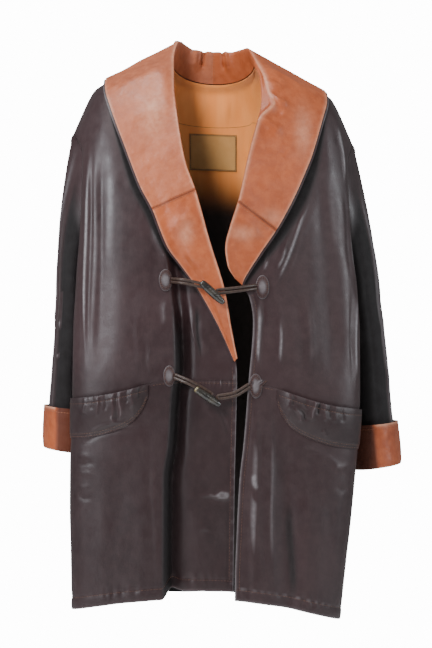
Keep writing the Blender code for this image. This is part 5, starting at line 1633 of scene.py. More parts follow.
@dataclass
class Sleeve:
    """One sleeve with its turned-back cuff."""

    form: TorsoForm
    side: Side
    tree: BVHTree
    leather: float = 0.0016
    swell: dict[Side, float] = sided(2.2, 1.5)
    clearance: float = 0.0042
    seam_gap: float = 0.0007
    lap: float = 0.004
    radius: float = 0.055
    ripple_height: float = 0.0006
    around: int = 72
    top_rows: int = 46
    low_rows: int = 64
    cuff_lip: float = 0.0016
    cuff_lip_bend: float = 0.006
    cuff_rows: int = 40
    cuff_stitch: float = 0.006
    shade_span: float = 0.0058
    crease_share: float = 0.6
    # Painted shade on the side next to the body: where it starts round the sleeve and the cuff, and how dark
    hidden_from: dict[Side, float] = sided(0.76, 0.42)
    cuff_hidden_from: dict[Side, float] = sided(1.12, 1.52)
    cuff_hidden_ends: float = 0.16
    hidden_to: float = 4.40
    hidden_ends: float = 0.24
    hidden_far: float = 0.9
    hidden_shade: float = 0.95
    cuff_hidden_shade: float = 0.85
    dark_row: int = 3
    dark_rows: int = 16
    line_fade: float = 0.08
    top_calm: int = 8
    end_calm: int = 20
    clear_rows: int = 22
    cuff_wave: float = 0.0011
    cuff_flare: float = 0.0006
    cuff_most_in: float = 0.0008
    cuff_wear: float = 0.8
    ripple_shift: float = 0.2
    pale_over: float = 0.1
    line_sway: float = 0.04
    line_rate: float = 31.0
    cuff_waves: Triple = (3.0, 2.2, 0.7)
    flare_waves: Pair = (5.0, 1.3)
    lip_at: float = 0.27
    lip_wide: float = 0.14
    edge_from: float = 0.965
    edge_wide: float = 0.03

    def ring(self, z: float, turns: Array) -> Array:
        """Draws a ring of the sleeve below the armhole.

        Args:
            z: Height of the ring.
            turns: Angles round it, from the outer side to the front.

        Returns:
            Points of the ring.
        """
        rows = SLEEVES[self.side]
        size = {name: smooth(-rows["z"], rows[name], -z) for name in rows}
        middle = size["outer"] - size["half_out"]
        out = middle + size["half_out"] * np.cos(turns)
        y = size["middle_y"] - size["half_y"] * np.sin(turns)
        return np.stack([self.side.value * out, y, z + size["tilt"] * (out - middle)], axis=1)

    def build(self) -> None:
        """Makes the sleeve clear of the torso and dresses it."""
        turns = np.linspace(0, 2 * np.pi, self.around, endpoint=False)
        loop = []
        for turn in turns:
            facing, share = (-1, turn / np.pi) if turn <= np.pi else (1, 2 - turn / np.pi)
            out, y, z = self.form.armhole(self.side, share, facing)
            loop.append((self.side.value * out, y, z))
        loop = np.array(loop)
        first, last = SLEEVES[self.side]["z"][0], SLEEVES[self.side]["z"][-1]
        goal = self.ring(first, turns)
        rings = []
        for b in np.linspace(0, 1, self.top_rows + 1)[:-1]:
            ring = loop + (goal - loop) * b
            ring[:, :2] = loop[:, :2] + (goal - loop)[:, :2] * (1 - (1 - b) ** self.swell[self.side])
            rings.append(ring)
        rings += [self.ring(z, turns) for z in np.linspace(first, last, self.low_rows + 1)]
        rings.insert(0, rings[0] + self.lap * unit(rings[0] - rings[3]))
        points = np.stack(rings)
        middle = points.mean(axis=1, keepdims=True)
        out = square(points, points - middle, closed=True)
        rows = {name: values * self.radius if name in ("u0", "u1") else values
                for name, values in SLEEVE_CREASES[self.side].items()}
        crease = Creases(rows).height(np.broadcast_to(turns * self.radius, points.shape[:2]), points[..., 2])
        across = np.cos(turns)[None, :] * self.radius + self.ripple_shift
        crease += self.ripple_height * ripple(across, points[..., 2])
        steps = np.arange(len(rings))
        # Share of painted shade on the side next to the body, fading in below the top rows
        low = self.hidden(turns, self.hidden_from[self.side], self.hidden_ends)
        low = ease((steps - self.dark_row) / self.dark_rows)[:, None] * low
        # Painted highlights on crease ridges stay; elsewhere painted shade in hollows and on the side next
        # to the body
        shade = shade_of(crease, self.shade_span)
        shade = np.where(shade > self.pale_over, shade, shade - (1 + shade) * self.hidden_shade * low)
        # Painted highlight lines down the sleeve
        for turn, wide, pale, start in zip(*SLEEVE_HIGHLIGHTS[self.side].values()):
            sway = self.line_sway * np.sin(self.line_rate * points[..., 2])
            line = bell(turns[None, :] - turn - sway, wide)
            line = line * ease((start - points[..., 2]) / self.line_fade)
            shade = shade + np.maximum(pale - shade, 0) * line
        calm = ease(steps / self.top_calm) * ease((len(rings) - 1 - steps) / self.end_calm)
        crease *= self.crease_share * calm[:, None]
        points = points + out * crease[..., None]
        ramp = self.seam_gap + (self.clearance - self.seam_gap) * np.minimum(steps / self.clear_rows, 1)
        points = push_off(points, self.tree, np.broadcast_to(ramp[:, None], points.shape[:2]))
        node = f"sleeve_{self.side.word}"
        cloth = Cloth(node, points, out, closed=True)
        above = [f"front_{self.side.word}_upper", "back_upper"]
        cloth.build(self.leather, DARK, Hold.HUNG, above, shade, unfaded=True)
        self.build_cuff(last)

    def hidden(self, turns: Array, start: float, ends: float) -> Array:
        """Share of painted shade on the side next to the body."""
        return ease((turns - start) / ends) * ease((self.hidden_to - turns) / max(ends, self.hidden_far))

    def build_cuff(self, end_z: float) -> None:
        """Makes the cuff round the sleeve's end, dresses and sews it.

        Args:
            end_z: Height of the sleeve's end.
        """
        turns = np.linspace(0, 2 * np.pi, self.around, endpoint=False)
        course = np.linspace(0, 1, self.cuff_rows + 1)
        knots = np.linspace(0, 1, len(CUFF["rise"]))
        rings, ways = [], []
        for share in course:
            rise, off = (float(smooth(knots, CUFF[c], share)) for c in ("rise", "off"))
            ring = self.ring(max(end_z, end_z + rise), turns)
            ring[:, 2] += min(rise, 0.0)
            along = np.roll(ring, -1, axis=0) - np.roll(ring, 1, axis=0)
            away = unit(np.cross(along, np.array([0.0, 0.0, 1.0])))
            away *= np.sign(np.sum(away * (ring - ring.mean(axis=0))))
            high = rise / CUFF["rise"][-1]
            wave = self.cuff_wave * math.sin(math.pi * min(max(high, 0), 1))
            count, climb, start = self.cuff_waves
            wave = wave * np.sin(count * turns + climb * high + start)
            count, start = self.flare_waves
            wave = wave + self.cuff_flare * max(high, 0) * np.sin(count * turns + start)
            rings.append(ring + away * (off + np.maximum(wave, -self.cuff_most_in))[:, None])
            lip = ease((rise + self.cuff_lip) / self.cuff_lip_bend)
            ways.append(unit(away * lip - np.array([0.0, 0.0, 1.0]) * (1 - lip)))
        node = f"cuff_{self.side.word}"
        cloth = Cloth(node, np.stack(rings), np.stack(ways), closed=True)
        high = np.broadcast_to(course[:, None], cloth.face.shape[:2])
        lip = ease(1 - np.abs(high - self.lip_at) / self.lip_wide)
        wear = self.cuff_wear * np.maximum(lip, ease((high - self.edge_from) / self.edge_wide))
        # Painted shade on the cuff's side next to the body
        hidden = self.hidden(turns, self.cuff_hidden_from[self.side], self.cuff_hidden_ends)
        wear = wear - (self.cuff_hidden_shade + wear) * hidden
        cloth.build(self.leather, TAN, Hold.FOLDED, [f"sleeve_{self.side.word}"], wear)
        sewing = Sewing(f"stitching_cuff_{self.side.word}", TAN_THREAD, Slot.TAN)
        row = int(np.argmin(np.abs(cloth.face[:, 0, 2] - cloth.face[-1, 0, 2] + self.cuff_stitch)))
        sewing.run(*(np.vstack([grid[row], grid[row, :1]]) for grid in (cloth.face, cloth.out)))
        sewing.build()


@dataclass
class Collar:
    """One half of the shawl collar, with its upper and lower piece and the dark undercollar."""

    side: Side
    front: Cloth
    back: Back
    tree: BVHTree
    leather: float = 0.0014
    under_leather: float = 0.0012
    thickest: float = 0.0026
    knots: tuple[float, ...] = (0.0, 0.14, 0.25, 0.36, 0.66, 1.0)
    stand: float = 0.60
    early: float = 0.14
    late: float = 0.55
    edge_lift: float = 0.0034
    stand_lift: float = 0.0020
    loose: float = 0.0010
    fall_from: float = 0.30
    lies_from: float = 0.42
    lies_span: float = 0.40
    slack: float = 0.030
    calm: int = 16
    aside: float = 0.2
    front_row: float = 6.0
    fall_crease: float = 0.8
    seam_fade: float = 0.016
    roll_keep: float = 0.03
    roll_span: float = 0.02
    tip_fade: float = 0.03
    ripple_height: float = 0.0003
    clear: float = 0.62
    sink_stand: float = 0.0120
    sink_fall: float = 0.0004
    sink_from: float = 0.30
    sink_span: float = 0.16
    knuckle: float = 0.014
    knuckle_row: float = 5.45
    knuckle_rows: float = 0.30
    end_rows: float = 2.0
    end_loose: float = 0.22
    cross_seam: float = 8.0
    seam_gap: float = 0.0012
    join: float = 0.0002
    under_from: float = 0.48
    rim: float = 0.0042
    layer: float = 0.0003
    seam_stitch: float = 0.0030
    raised: dict[Side, float] = sided(0.0045, 0.0)
    upper_pale: dict[Side, float] = sided(0.11, 0.0)
    rim_pale: float = 0.4
    rim_pale_to: float = -0.11
    rim_fade: float = 0.06
    roll_top: float = 0.27
    roll_wear: float = 0.55
    roll_wide: float = 0.025
    edge_wear: float = 0.5
    edge_wide: float = 0.035
    seam_from: float = 0.26
    seam_shade: float = -0.55
    raised_steps: float = 0.16
    raised_back: float = 0.0060
    raised_behind: float = 0.85
    raised_row: float = 3.2
    raised_rows: float = 1.2
    towards: Triple = (0.0, -1.0, 0.2)
    faces_from: float = 0.5
    ripple_rate: float = 1.6
    cross_stitches: tuple = (0.27, 0.985, 60)
    back_stitches: tuple = (0.02, 0.98, 80)
    neck_points: int = 900
    upper_rows: int = 110
    lower_rows: int = 56
    steps: int = 44

    def neckline(self) -> Array:
        """Finds points just past the neck seam.

        Returns:
            A line from the centre back down the opening edge.
        """
        face = self.back.cloth.face
        middle = face.shape[1] // 2
        picked = slice(middle, middle + self.side.value * (self.back.inner + 1), self.side.value)
        edges = ((face[-1, picked], face[-3, picked]), (self.front.face[::-1, 0], self.front.face[::-1, 2]))
        shares = np.linspace(0, 1, self.neck_points)
        lines = [spaced(edge + self.seam_gap * unit(edge - beside), shares) for edge, beside in edges]
        return np.concatenate(lines)

    def underside(self, along: Array, steps: Array) -> Array:
        """Works out the collar's underside.

        Args:
            along: Rows of the collar's table.
            steps: Steps from seam to outer edge.

        Returns:
            Grid of points, centre back to end and seam to edge.
        """
        rows = COLLARS[self.side]
        count = len(rows["roll_z"])
        line = self.neckline()
        fine = {}
        for part in ("seam", "roll", "edge"):
            known = (self.side.value * rows[f"{part}_out"], rows[f"{part}_y"], rows[f"{part}_z"])
            fine[part] = np.stack([smooth(np.arange(count), column, along) for column in known], axis=1)
        if self.side is Side.LEFT:
            fine["roll"][:, 0] += self.knuckle * bell(along - self.knuckle_row, self.knuckle_rows)
        near = [int(np.argmin(np.linalg.norm(line - spot, axis=1))) for spot in fine["seam"]]
        seam, roll, edge = line[near], fine["roll"], fine["edge"]
        loose = self.end_loose * ease((along - count + 1) / self.end_rows + 1)[:, None]
        seam = seam + loose * (roll - seam)
        controls = np.stack([
            seam, seam + self.stand * (roll - seam), roll,
            roll + self.early * (edge - roll), roll + self.late * (edge - roll), edge,
        ])
        grid = np.zeros((len(along), len(steps), 3))
        for n in range(len(along)):
            for k in range(3):
                grid[n, :, k] = smooth(self.knots, controls[:, n, k], steps)
        lift = curve(COLLAR_LIFT, "lift", steps)
        end = ease((count - 1 - along) / self.end_rows)[:, None]
        lift = self.edge_lift + np.maximum(lift - self.edge_lift, 0) * end
        fall = steps >= self.fall_from
        most = lift + self.loose + self.slack * (1 - ease((steps - self.lies_from) / self.lies_span))
        drawn = grid.copy()
        grid[:, fall] = push_off(grid[:, fall], self.tree, lift[:, fall], most[:, fall])
        low = (steps > 0) & ~fall
        off = np.full((len(along), int(low.sum())), self.stand_lift)
        grid[:, low] = push_off(grid[:, low], self.tree, off)
        moved = relax(grid - drawn, self.calm)
        moved[..., 0] *= 1 - (1 - self.aside) * ease(along - self.front_row)[:, None]
        moved[:, 0] = 0.0
        grid = drawn + moved
        grid[:, fall] = push_off(grid[:, fall], self.tree, self.clear * lift[:, fall])
        near = bell(along - self.raised_row, self.raised_rows)[:, None] * ease(steps / self.fall_from)
        behind = bell(along, self.raised_behind)[:, None] * bell(steps - self.roll_top, self.raised_steps)
        grid[..., 2] += self.raised[self.side] * near + self.raised_back * behind
        return grid

    def build(self) -> None:
        """Makes the three pieces, dresses and sews them."""
        count = len(COLLARS[self.side]["roll_z"])
        along = np.concatenate([
            np.linspace(0, self.cross_seam, self.upper_rows + 1),
            np.linspace(self.cross_seam, count - 1, self.lower_rows + 1)[1:],
        ])
        steps = np.linspace(0, 1, self.steps + 1)
        grid = self.underside(along, steps)
        grid[0, :, 0] = 0.0
        facing = square(grid, np.array(self.towards) * (steps > self.faces_from)[None, :, None])
        facing[0] = unit(facing[0] * np.array([0.0, 1.0, 1.0]))
        wide = lengths(grid, 1)[:, -1]
        v = (steps[None, :] - ROLL_STEP) * wide[:, None]
        u = np.broadcast_to(lengths(grid, 0)[:, self.steps // 2][:, None], v.shape)
        stands = ease(1 - (steps - self.sink_from) / self.sink_span)
        sink = self.sink_fall + (self.sink_stand - self.sink_fall) * stands
        crease = np.maximum(self.crease(along, u[:, 0], wide, u, v), -sink)
        top = grid + facing * (self.leather + crease)[..., None]
        self.dress(steps, top, grid, facing)

    def crease(
        self, along: Array, course: Array, wide: Array, u: Array, v: Array
    ) -> Array:
        """Finds the creases of the collar.

        Args:
            along: Rows of the collar's table.
            course: Distance along the collar at each row.
            wide: Width of the collar at each row.
            u: Distance along at each point.
            v: Distance from the roll line at each point.

        Returns:
            A height for each point.
        """
        rows = {name: values.copy() for name, values in COLLAR_CREASES[self.side].items()}
        for a, b in (("u0", "v0"), ("u1", "v1")):
            rows[b] = (rows[b] - ROLL_STEP) * np.interp(rows[a], along, wide)
            rows[a] = np.interp(rows[a], along, course)
        height = Creases(rows).height(u, v)
        height *= 1 - (1 - self.fall_crease) * ease((v - self.roll_keep * wide.max()) / self.roll_span)
        height *= ease((v + ROLL_STEP * wide[:, None]) / self.seam_fade)
        height += self.ripple_height * ripple(u * self.ripple_rate + self.side.value, v * self.ripple_rate)
        return height * ease((course[-1] - u) / self.tip_fade)

    def dress(self, steps: Array, top: Array, under: Array, facing: Array) -> None:
        """Cuts the pieces out of the collar's two faces.

        Args:
            steps: Steps from seam to outer edge.
            top: Upper face.
            under: Lower face.
            facing: Directions off the garment.
        """
        split = self.upper_rows
        sewing = Sewing(f"stitching_collar_{self.side.word}", TAN_THREAD, Slot.TAN)
        for part, rows in (("upper", slice(0, split + 1)), ("lower", slice(split, None))):
            node = f"collar_{self.side.word}_{part}"
            cloth = Cloth(node, top[rows].copy(), facing[rows])
            edge, inner = (-1, -2) if part == "upper" else (0, 1)
            cloth.face[edge] += self.join * unit(cloth.face[inner] - cloth.face[edge])
            inner = np.linalg.norm(top[rows] - under[rows], axis=2)
            # Pale outer edge and roll line, worn and with a painted highlight
            edge = self.edge_wear * ease(1 - (1 - steps) / self.edge_wide)
            roll = self.roll_wear * bell(steps - self.roll_top, self.roll_wide)
            wear = np.repeat(np.maximum(edge, roll)[None, :], len(cloth.face), axis=0)
            # Painted sheen over the whole upper piece of the right collar
            if part == "upper":
                wear = np.maximum(wear, self.upper_pale[self.side])
            # Painted sheen in blots
            for x, z, wide, high, pale in zip(*COLLAR_PAINTED_SHEEN.values()):
                blot = ((cloth.face[..., 0] - x) / wide) ** 2 + ((cloth.face[..., 2] - z) / high) ** 2
                wear = wear + np.maximum(pale - wear, 0) * np.exp(-blot)
            wear[-1 if part == "upper" else 0, steps > self.seam_from] = self.seam_shade
            below = [f"front_{self.side.word}_upper", "back_upper"]
            cloth.build(np.minimum(inner, self.thickest), TAN, Hold.FOLDED, below, wear)
            self.sew(sewing, cloth, part)
        sewing.build()
        first = int(np.argmin(np.abs(steps - self.under_from)))
        rim = under[:, -1:] + self.rim * unit(under[:, -1:] - under[:, -2:-1])
        face = np.concatenate([under[:, first:], rim], axis=1)[:-1]
        out = np.concatenate([facing[:, first:], facing[:, -1:]], axis=1)[:-1]
        node = f"undercollar_{self.side.word}"
        cloth = Cloth(node, face - out * self.layer, out)
        wear = np.zeros(face.shape[:2])
        # Painted highlight along the upper part of the rim
        wear[:, -1] = self.rim_pale * ease((face[:, -1, 2] - self.rim_pale_to) / self.rim_fade)
        beside = [f"{piece}_{self.side.word}_upper" for piece in ("collar", "front")]
        cloth.build(self.under_leather, DARK, Hold.FOLDED, beside, wear)

    def sew(self, sewing: Sewing, cloth: Cloth, part: str) -> None:
        """Sews the cross seam, and the seam at the centre back.

        Args:
            sewing: Where the stitches are gathered.
            cloth: The collar piece.
            part: Whether it is the upper or the lower piece.
        """
        shares = np.linspace(*self.cross_stitches)
        long = lengths(cloth.face, 0)[-1]
        off = self.seam_stitch / np.interp(shares, np.linspace(0, 1, len(long)), long)
        sewing.run(*cloth.at(shares, 1 - off if part == "upper" else off))
        if part == "upper":
            shares = np.linspace(*self.back_stitches)
            off = self.seam_stitch / np.interp(shares, np.linspace(0, 1, len(long)), long)
            sewing.run(*cloth.at(shares, off))


@dataclass
class Pocket:
    """A pouch on a front, gathered at its mouth."""

    side: Side
    fronts: Fronts
    tree: BVHTree
    leather: float = 0.0016
    stand_off: float = 0.0024
    puff: float = 0.010
    puff_turn: float = 0.62
    gathers: int = 7
    gather_swing: float = 1.3
    gather_rate: float = 9.0
    gather_depth: float = 0.0006
    crease_share: float = 0.7
    crease_ends: float = 0.2
    # Painted shade over the pouch, and painted light of its creases, mouth and lower seam
    unfaded: float = -0.34
    crease_shade: float = 0.8
    shade_span: float = 0.0028
    groove: float = 0.0006
    groove_width: float = 0.0012
    mouth_groove: float = 0.0014
    mouth_wear: float = 0.4
    mouth_edge: float = 0.004
    edge_wear: float = 0.25
    edge_off: float = 0.001
    corner_out: float = 0.104
    end: float = 0.86
    below_seam: float = 0.002
    fade_in: float = 0.12
    fade_out: float = 0.62
    flat_end: float = 0.10
    hug: float = 0.0015
    hug_span: float = 0.010
    stitch_rows: Pair = (0.0026, 0.0068)
    mouth_stitch: float = 0.0095
    stitches: tuple = (0.01, 0.99, 200)
    columns: int = 112
    rows: int = 44

    def build(self) -> None:
        """Makes the pouch on its front, dresses and sews it."""
        sheet = self.fronts.sheets[self.side]
        corner = sheet.find(self.corner_out, float(curve(WAIST, "z", self.corner_out)))
        across = np.linspace(corner[0], self.end, self.columns + 1)
        along = np.linspace(0, 1, self.columns + 1)
        top = np.interp(across, *self.fronts.waist(sheet))
        drop = curve(POCKET, "drop", along)
        mouth = sheet.at(across, top)[0]
        low = np.array([sheet.up_at(a, m[2] - d) for a, m, d in zip(across, mouth, drop)])
        rise = np.linspace(0, 1, self.rows + 1)[:, None]
        spots, out = sheet.at(np.broadcast_to(across, (self.rows + 1, self.columns + 1)),
                              low + (top - self.below_seam - low) * rise)
        side_fade = ease(along / self.fade_in) * ease((1 - along - self.flat_end) / self.fade_out)
        puff = self.puff * np.sin(rise * math.pi * self.puff_turn) * side_fade
        swing = self.gather_swing * np.sin(self.gather_rate * along)
        wave = np.cos(2 * math.pi * self.gathers * along + swing) * rise**2
        near = ease((along - 1 + 2 * self.flat_end) / self.flat_end)
        near = np.maximum(ease(1 - drop * rise / self.hug_span), near)
        base = self.stand_off + (self.hug - self.stand_off) * near
        lift = base + puff + self.gather_depth * (1 + wave) * side_fade * rise
        u = np.broadcast_to(lengths(mouth[None], 1)[0], lift.shape)
        v = (rise - 1) * drop
        crease = Creases(POCKET_CREASES[self.side], self.crease_ends).height(u, v)
        crease = crease * ease(rise / self.crease_ends)
        lift = lift + self.crease_share * crease
        edge = drop * rise
        for stitch in self.stitch_rows:
            lift -= self.groove * bell(edge - stitch, self.groove_width)
        lift -= self.groove * bell(v + self.mouth_stitch, self.mouth_groove) * side_fade
        points = push_off(spots + out * lift[..., None], self.tree, base)
        node = f"pocket_{self.side.word}"
        cloth = Cloth(node, points, out)
        # Painted shade over the whole pouch, with the painted highlights and shade of its creases
        wear = self.unfaded + self.crease_shade * shade_of(crease, self.shade_span)
        # Pale mouth edge, worn and with a painted highlight
        wear = wear + self.mouth_wear * ease(1 + v / self.mouth_edge) * side_fade
        # Painted highlight line along the lower seam
        wear = wear + self.edge_wear * bell(edge - self.edge_off, self.groove_width)
        thick = self.leather * base / self.stand_off
        below = [f"front_{self.side.word}_lower"]
        cloth.build(thick, DARK, Hold.GATHERED, below, np.broadcast_to(wear, lift.shape))
        sewing = Sewing(f"stitching_pocket_{self.side.word}", THREAD, Slot.DARK)
        shares = np.linspace(*self.stitches)
        for stitch in self.stitch_rows:
            sewing.run(*cloth.at(shares, stitch / np.interp(shares, along, drop)))
        sewing.run(*cloth.at(shares, 1 - self.mouth_stitch / np.interp(shares, along, drop)))
        sewing.build()


@dataclass
class NeckLining:
    """Lining in the back of the neck, in a yoke and a lower piece, with a bare label."""

    back: Back
    cloth: float = 0.0010
    stand_off: float = 0.0024
    most_in: float = 0.0008
    calm_z: float = 0.02
    calm_span: float = 0.03
    join: float = 0.0003
    yoke_z: float = -0.061
    outer_share: float = 0.40
    start_row: int = 5
    label_leather: float = 0.0010
    label_wide: float = 0.081
    label_high: float = 0.062
    label_top_z: float = -0.075
    label_columns: int = 40
    label_rows: int = 32
    label_gap: float = 0.0008
    label_swell: float = 0.0009
    label_edge: float = 0.0022
    label_worn: float = 1.2
    label_points: int = 40
    before_y: float = -0.2
    # Painted shade towards the bottom of the lining
    deep_from: float = -0.125
    deep_span: float = 0.09

    def build(self) -> None:
        """Makes the lining and the label from the back's points and dresses them."""
        keep = round(self.back.outer * (1 - self.outer_share))
        face = self.back.cloth.face[self.start_row :, keep:-keep]
        into = -self.back.cloth.out[self.start_row :, keep:-keep]
        x, z = face[..., 0], face[..., 2]
        wave = np.maximum(Creases(LINING_CREASES).height(x, z), -self.most_in)
        wave = wave * ease((self.calm_z - z) / self.calm_span)
        face = face + into * (self.stand_off + self.cloth + wave)[..., None]
        seam = int(np.argmin(np.abs(face[:, face.shape[1] // 2, 2] - self.yoke_z)))
        for node, rows in (("lining_back", slice(0, seam + 1)), ("lining_yoke", slice(seam, None))):
            piece = Cloth(node, face[rows].copy(), into[rows])
            edge = -1 if node == "lining_back" else 0
            inner = -2 if node == "lining_back" else 1
            piece.face[edge] += self.join * unit(piece.face[inner] - piece.face[edge])
            # Painted shade, darker towards the bottom of the lining
            deep = ease((self.deep_from - piece.face[..., 2]) / self.deep_span)
            piece.build(self.cloth, LINING, Hold.HUNG, ["back_upper"], deep)
        self.build_label(face, into)

    def build_label(self, face: Array, into: Array) -> None:
        """Makes the bare label on the lining.

        Args:
            face: Points of the lining's face.
            into: Directions off that face.
        """
        tree = face_tree([Cloth("lining_face", face, into)])
        x, z = np.meshgrid(
            np.linspace(-self.label_wide / 2, self.label_wide / 2, self.label_columns + 1),
            np.linspace(self.label_top_z - self.label_high, self.label_top_z, self.label_rows + 1),
        )
        points = np.zeros((*x.shape, 3))
        for index in np.ndindex(x.shape):
            start = Vector((x[index], self.before_y, z[index]))
            points[index] = tree.ray_cast(start, Vector((0.0, 1.0, 0.0)))[0]
        out = square(points, np.array([0.0, -1.0, 0.0]))
        high = z - z.mean()
        swell = np.cos(np.pi * x / self.label_wide) * np.cos(np.pi * high / self.label_high)
        lift = self.label_gap + self.label_leather + self.label_swell * swell
        cloth = Cloth("label", points + out * lift[..., None], out)
        edge = np.minimum(self.label_wide / 2 - np.abs(x), self.label_high / 2 - np.abs(high))
        worn = ease(self.label_worn - edge / self.label_edge)
        cloth.build(self.label_leather, LABEL_HIDE, Hold.LAID, ["lining_back"], worn)
        sewing = Sewing("stitching_label", THREAD, Slot.LABEL, length=0.0030, gap=0.0010)
        a, b = self.label_edge / self.label_wide, self.label_edge / self.label_high
        n = np.linspace(0, 1, self.label_points)
        for across, up in ((a + (1 - 2 * a) * n, 0 * n + b), (a + (1 - 2 * a) * n, 0 * n + 1 - b),
                           (0 * n + a, b + (1 - 2 * b) * n), (0 * n + 1 - a, b + (1 - 2 * b) * n)):
            sewing.run(*cloth.at(across, up))
        sewing.build()


@dataclass
class Fastening:
    """A toggle with its two cords and their patches."""

    name: str
    patches: dict[Side, tuple[float, float, float, float]]
    bends: dict[Side, Pair]
    ends: dict[Side, Pair]
    toggle: tuple[Pair, Pair]
    sink: float = 0.0
    pale_from: float = 1.1
    depth: float = -0.1530
    pale_span: float = 0.14
    toggle_sides: int = 24
    cord_sides: int = 12
    cord_radius: float = 0.0025
    strand_offset: float = 0.0028
    sag: float = 0.002
    layer: float = 0.0003
    patch_leather: float = 0.0015
    patch_gap: float = 0.0008
    stiffness: float = 0.75
    give: float = 0.0020
    cord_from: float = 0.95
    cord_sunk: float = 0.0014
    frontal: Triple = (0.0, -0.6, 0.0)
    dome: float = 0.0020
    dome_wear: float = 0.45
    edge_from: float = 0.9
    edge_drop: float = 0.0008
    edge_wear: float = 0.4
    groove: float = 0.0005
    groove_share: float = 0.05
    rings: Pair = (0.66, 0.84)
    around: int = 48
    across: int = 12
    before_y: float = -0.5
    edge_span: float = 0.08
    dome_to: float = 0.75
    dome_span: float = 0.5
    cord_wear: float = 0.12
    cord_wear_rate: float = 0.13
    cord_points: int = 36
    cap_points: int = 12
    toggle_points: int = 48
    carving: tuple[Triple, ...] = ((0.015, 31.0, 0.0), (0.01, 57.0, 1.0))

    def build(self, tree: BVHTree) -> None:
        """Makes patches, cords and toggle and dresses them.

        Args:
            tree: Search tree over the torso.
        """
        sewing = Sewing(f"stitching_patches_{self.name}", THREAD, Slot.DARK, length=0.0026, gap=0.0010)
        for side in Side:
            start, facing = self.patch(side, tree, sewing)
            line = self.cord_line(side, start, facing)
            node = f"cord_{self.name}_{side.word}"
            points, faces = rod(line, self.cord_radius, self.cord_sides)
            worn = self.cord_wear * np.sin(np.arange(len(points)) * self.cord_wear_rate)
            worn += self.cord_wear
            place(add_mesh(f"{node}_hide", points, faces, CORD_HIDE, worn), Slot.CORD, node)
        sewing.build()
        self.build_toggle()

    def patch(self, side: Side, tree: BVHTree, sewing: Sewing) -> tuple[Array, Array]:
        """Makes an oval patch on a front.

        Args:
            side: Side of the garment.
            tree: Search tree over the torso.
            sewing: Where its stitches are gathered.

        Returns:
            Where the cord leaves it on the inner side, and the direction off it.
        """
        out, z, half_wide, half_high = self.patches[side]
        shares = np.linspace(0.0, 1.0, self.across + 1)[1:]
        turns = np.linspace(0, 2 * np.pi, self.around, endpoint=False)
        ring, turn = np.meshgrid(shares, turns, indexing="ij")
        x = side.value * (out + np.append(0.0, half_wide * ring * np.cos(turn)))
        high = z + np.append(0.0, half_high * ring * np.sin(turn))
        starts = [Vector((a, self.before_y, b)) for a, b in zip(x, high)]
        hits = [tree.ray_cast(start, Vector((0.0, 1.0, 0.0))) for start in starts]
        spots = np.array([hit[0] for hit in hits])
        facing = unit(np.mean([hit[1] for hit in hits], axis=0) + self.frontal)
        sunk = (spots[0] - spots) @ facing
        spots = spots + np.outer(sunk - np.clip((1 - self.stiffness) * sunk, -self.give, self.give), facing)
        spots = push_off(spots, tree, np.full(len(spots), self.patch_gap))
        far = np.append(0.0, ring)
        lift = self.patch_leather + self.dome * (1 - far**2)
        for share in self.rings:
            lift = lift - self.groove * bell(far - share, self.groove_share)
        lift = lift - self.edge_drop * ease((far - self.edge_from) / (1 - self.edge_from))
        tops = spots + np.outer(lift, facing)
        count, n = len(spots), self.around
        turned = side is Side.LEFT
        cells = [(0, 1 + k, 1 + (k + 1) % n) for k in range(n)]
        for r in range(self.across - 1):
            for k in range(n):
                a, b = 1 + r * n + k, 1 + r * n + (k + 1) % n
                cells.append((a, a + n, b + n, b))
        cells = [cell if turned else cell[::-1] for cell in cells]
        faces = [tuple(k + count for k in cell) for cell in cells] + [cell[::-1] for cell in cells]
        for k in range(n):
            a, b = count - n + k, count - n + (k + 1) % n
            faces.append((a, b, b + count, a + count) if turned else (b, a, a + count, b + count))
        # Pale rim of the patch, and a painted highlight on its dome
        worn = self.edge_wear * ease((far - self.edge_from) / self.edge_span)
        worn = np.append(0 * far, worn + self.dome_wear * ease((self.dome_to - far) / self.dome_span))
        node = f"patch_{self.name}_{side.word}"
        made = add_mesh(f"{node}_leather", np.concatenate([spots, tops]), faces, DARK, worn)
        place(made, Slot.DARK, node)
        for share in self.rings:
            row = 1 + int(round(share * self.across) - 1) * n
            loop = np.vstack([tops[row : row + n], tops[row : row + 1]])
            sewing.run(loop, np.broadcast_to(facing, loop.shape))
        inner = int(np.argmin(np.abs(tops[-n:, 0])))
        return tops[0] + self.cord_from * (tops[count - n + inner] - tops[0]), facing

    def cord_line(self, side: Side, start: Array, facing: Array) -> Array:
        """Draws a doubled cord from its patch to the toggle and back.

        Args:
            side: Side of the garment.
            start: Where it leaves the patch.
            facing: Direction off the patch.

        Returns:
            Points of the cord's middle.
        """
        first = start + facing * (self.cord_radius + self.layer - self.cord_sunk)
        bend = np.array([self.bends[side][0], self.depth + self.sag, self.bends[side][1]])
        last = np.array([self.ends[side][0], self.depth, self.ends[side][1]])
        shares = np.linspace(0, 1, self.cord_points)
        path = np.stack([smooth((0.0, 0.5, 1.0), spots, shares) for spots in zip(first, bend, last)], axis=1)
        ahead = unit(np.gradient(path, axis=0))
        aside = unit(np.cross(ahead, np.array([0.0, 1.0, 0.0]))) * self.strand_offset
        turns = np.linspace(0, np.pi, self.cap_points)[1:-1, None]
        cap = path[-1] + np.cos(turns) * aside[-1] + np.sin(turns) * ahead[-1] * self.strand_offset
        return np.concatenate([path + aside, cap, (path - aside)[::-1]])

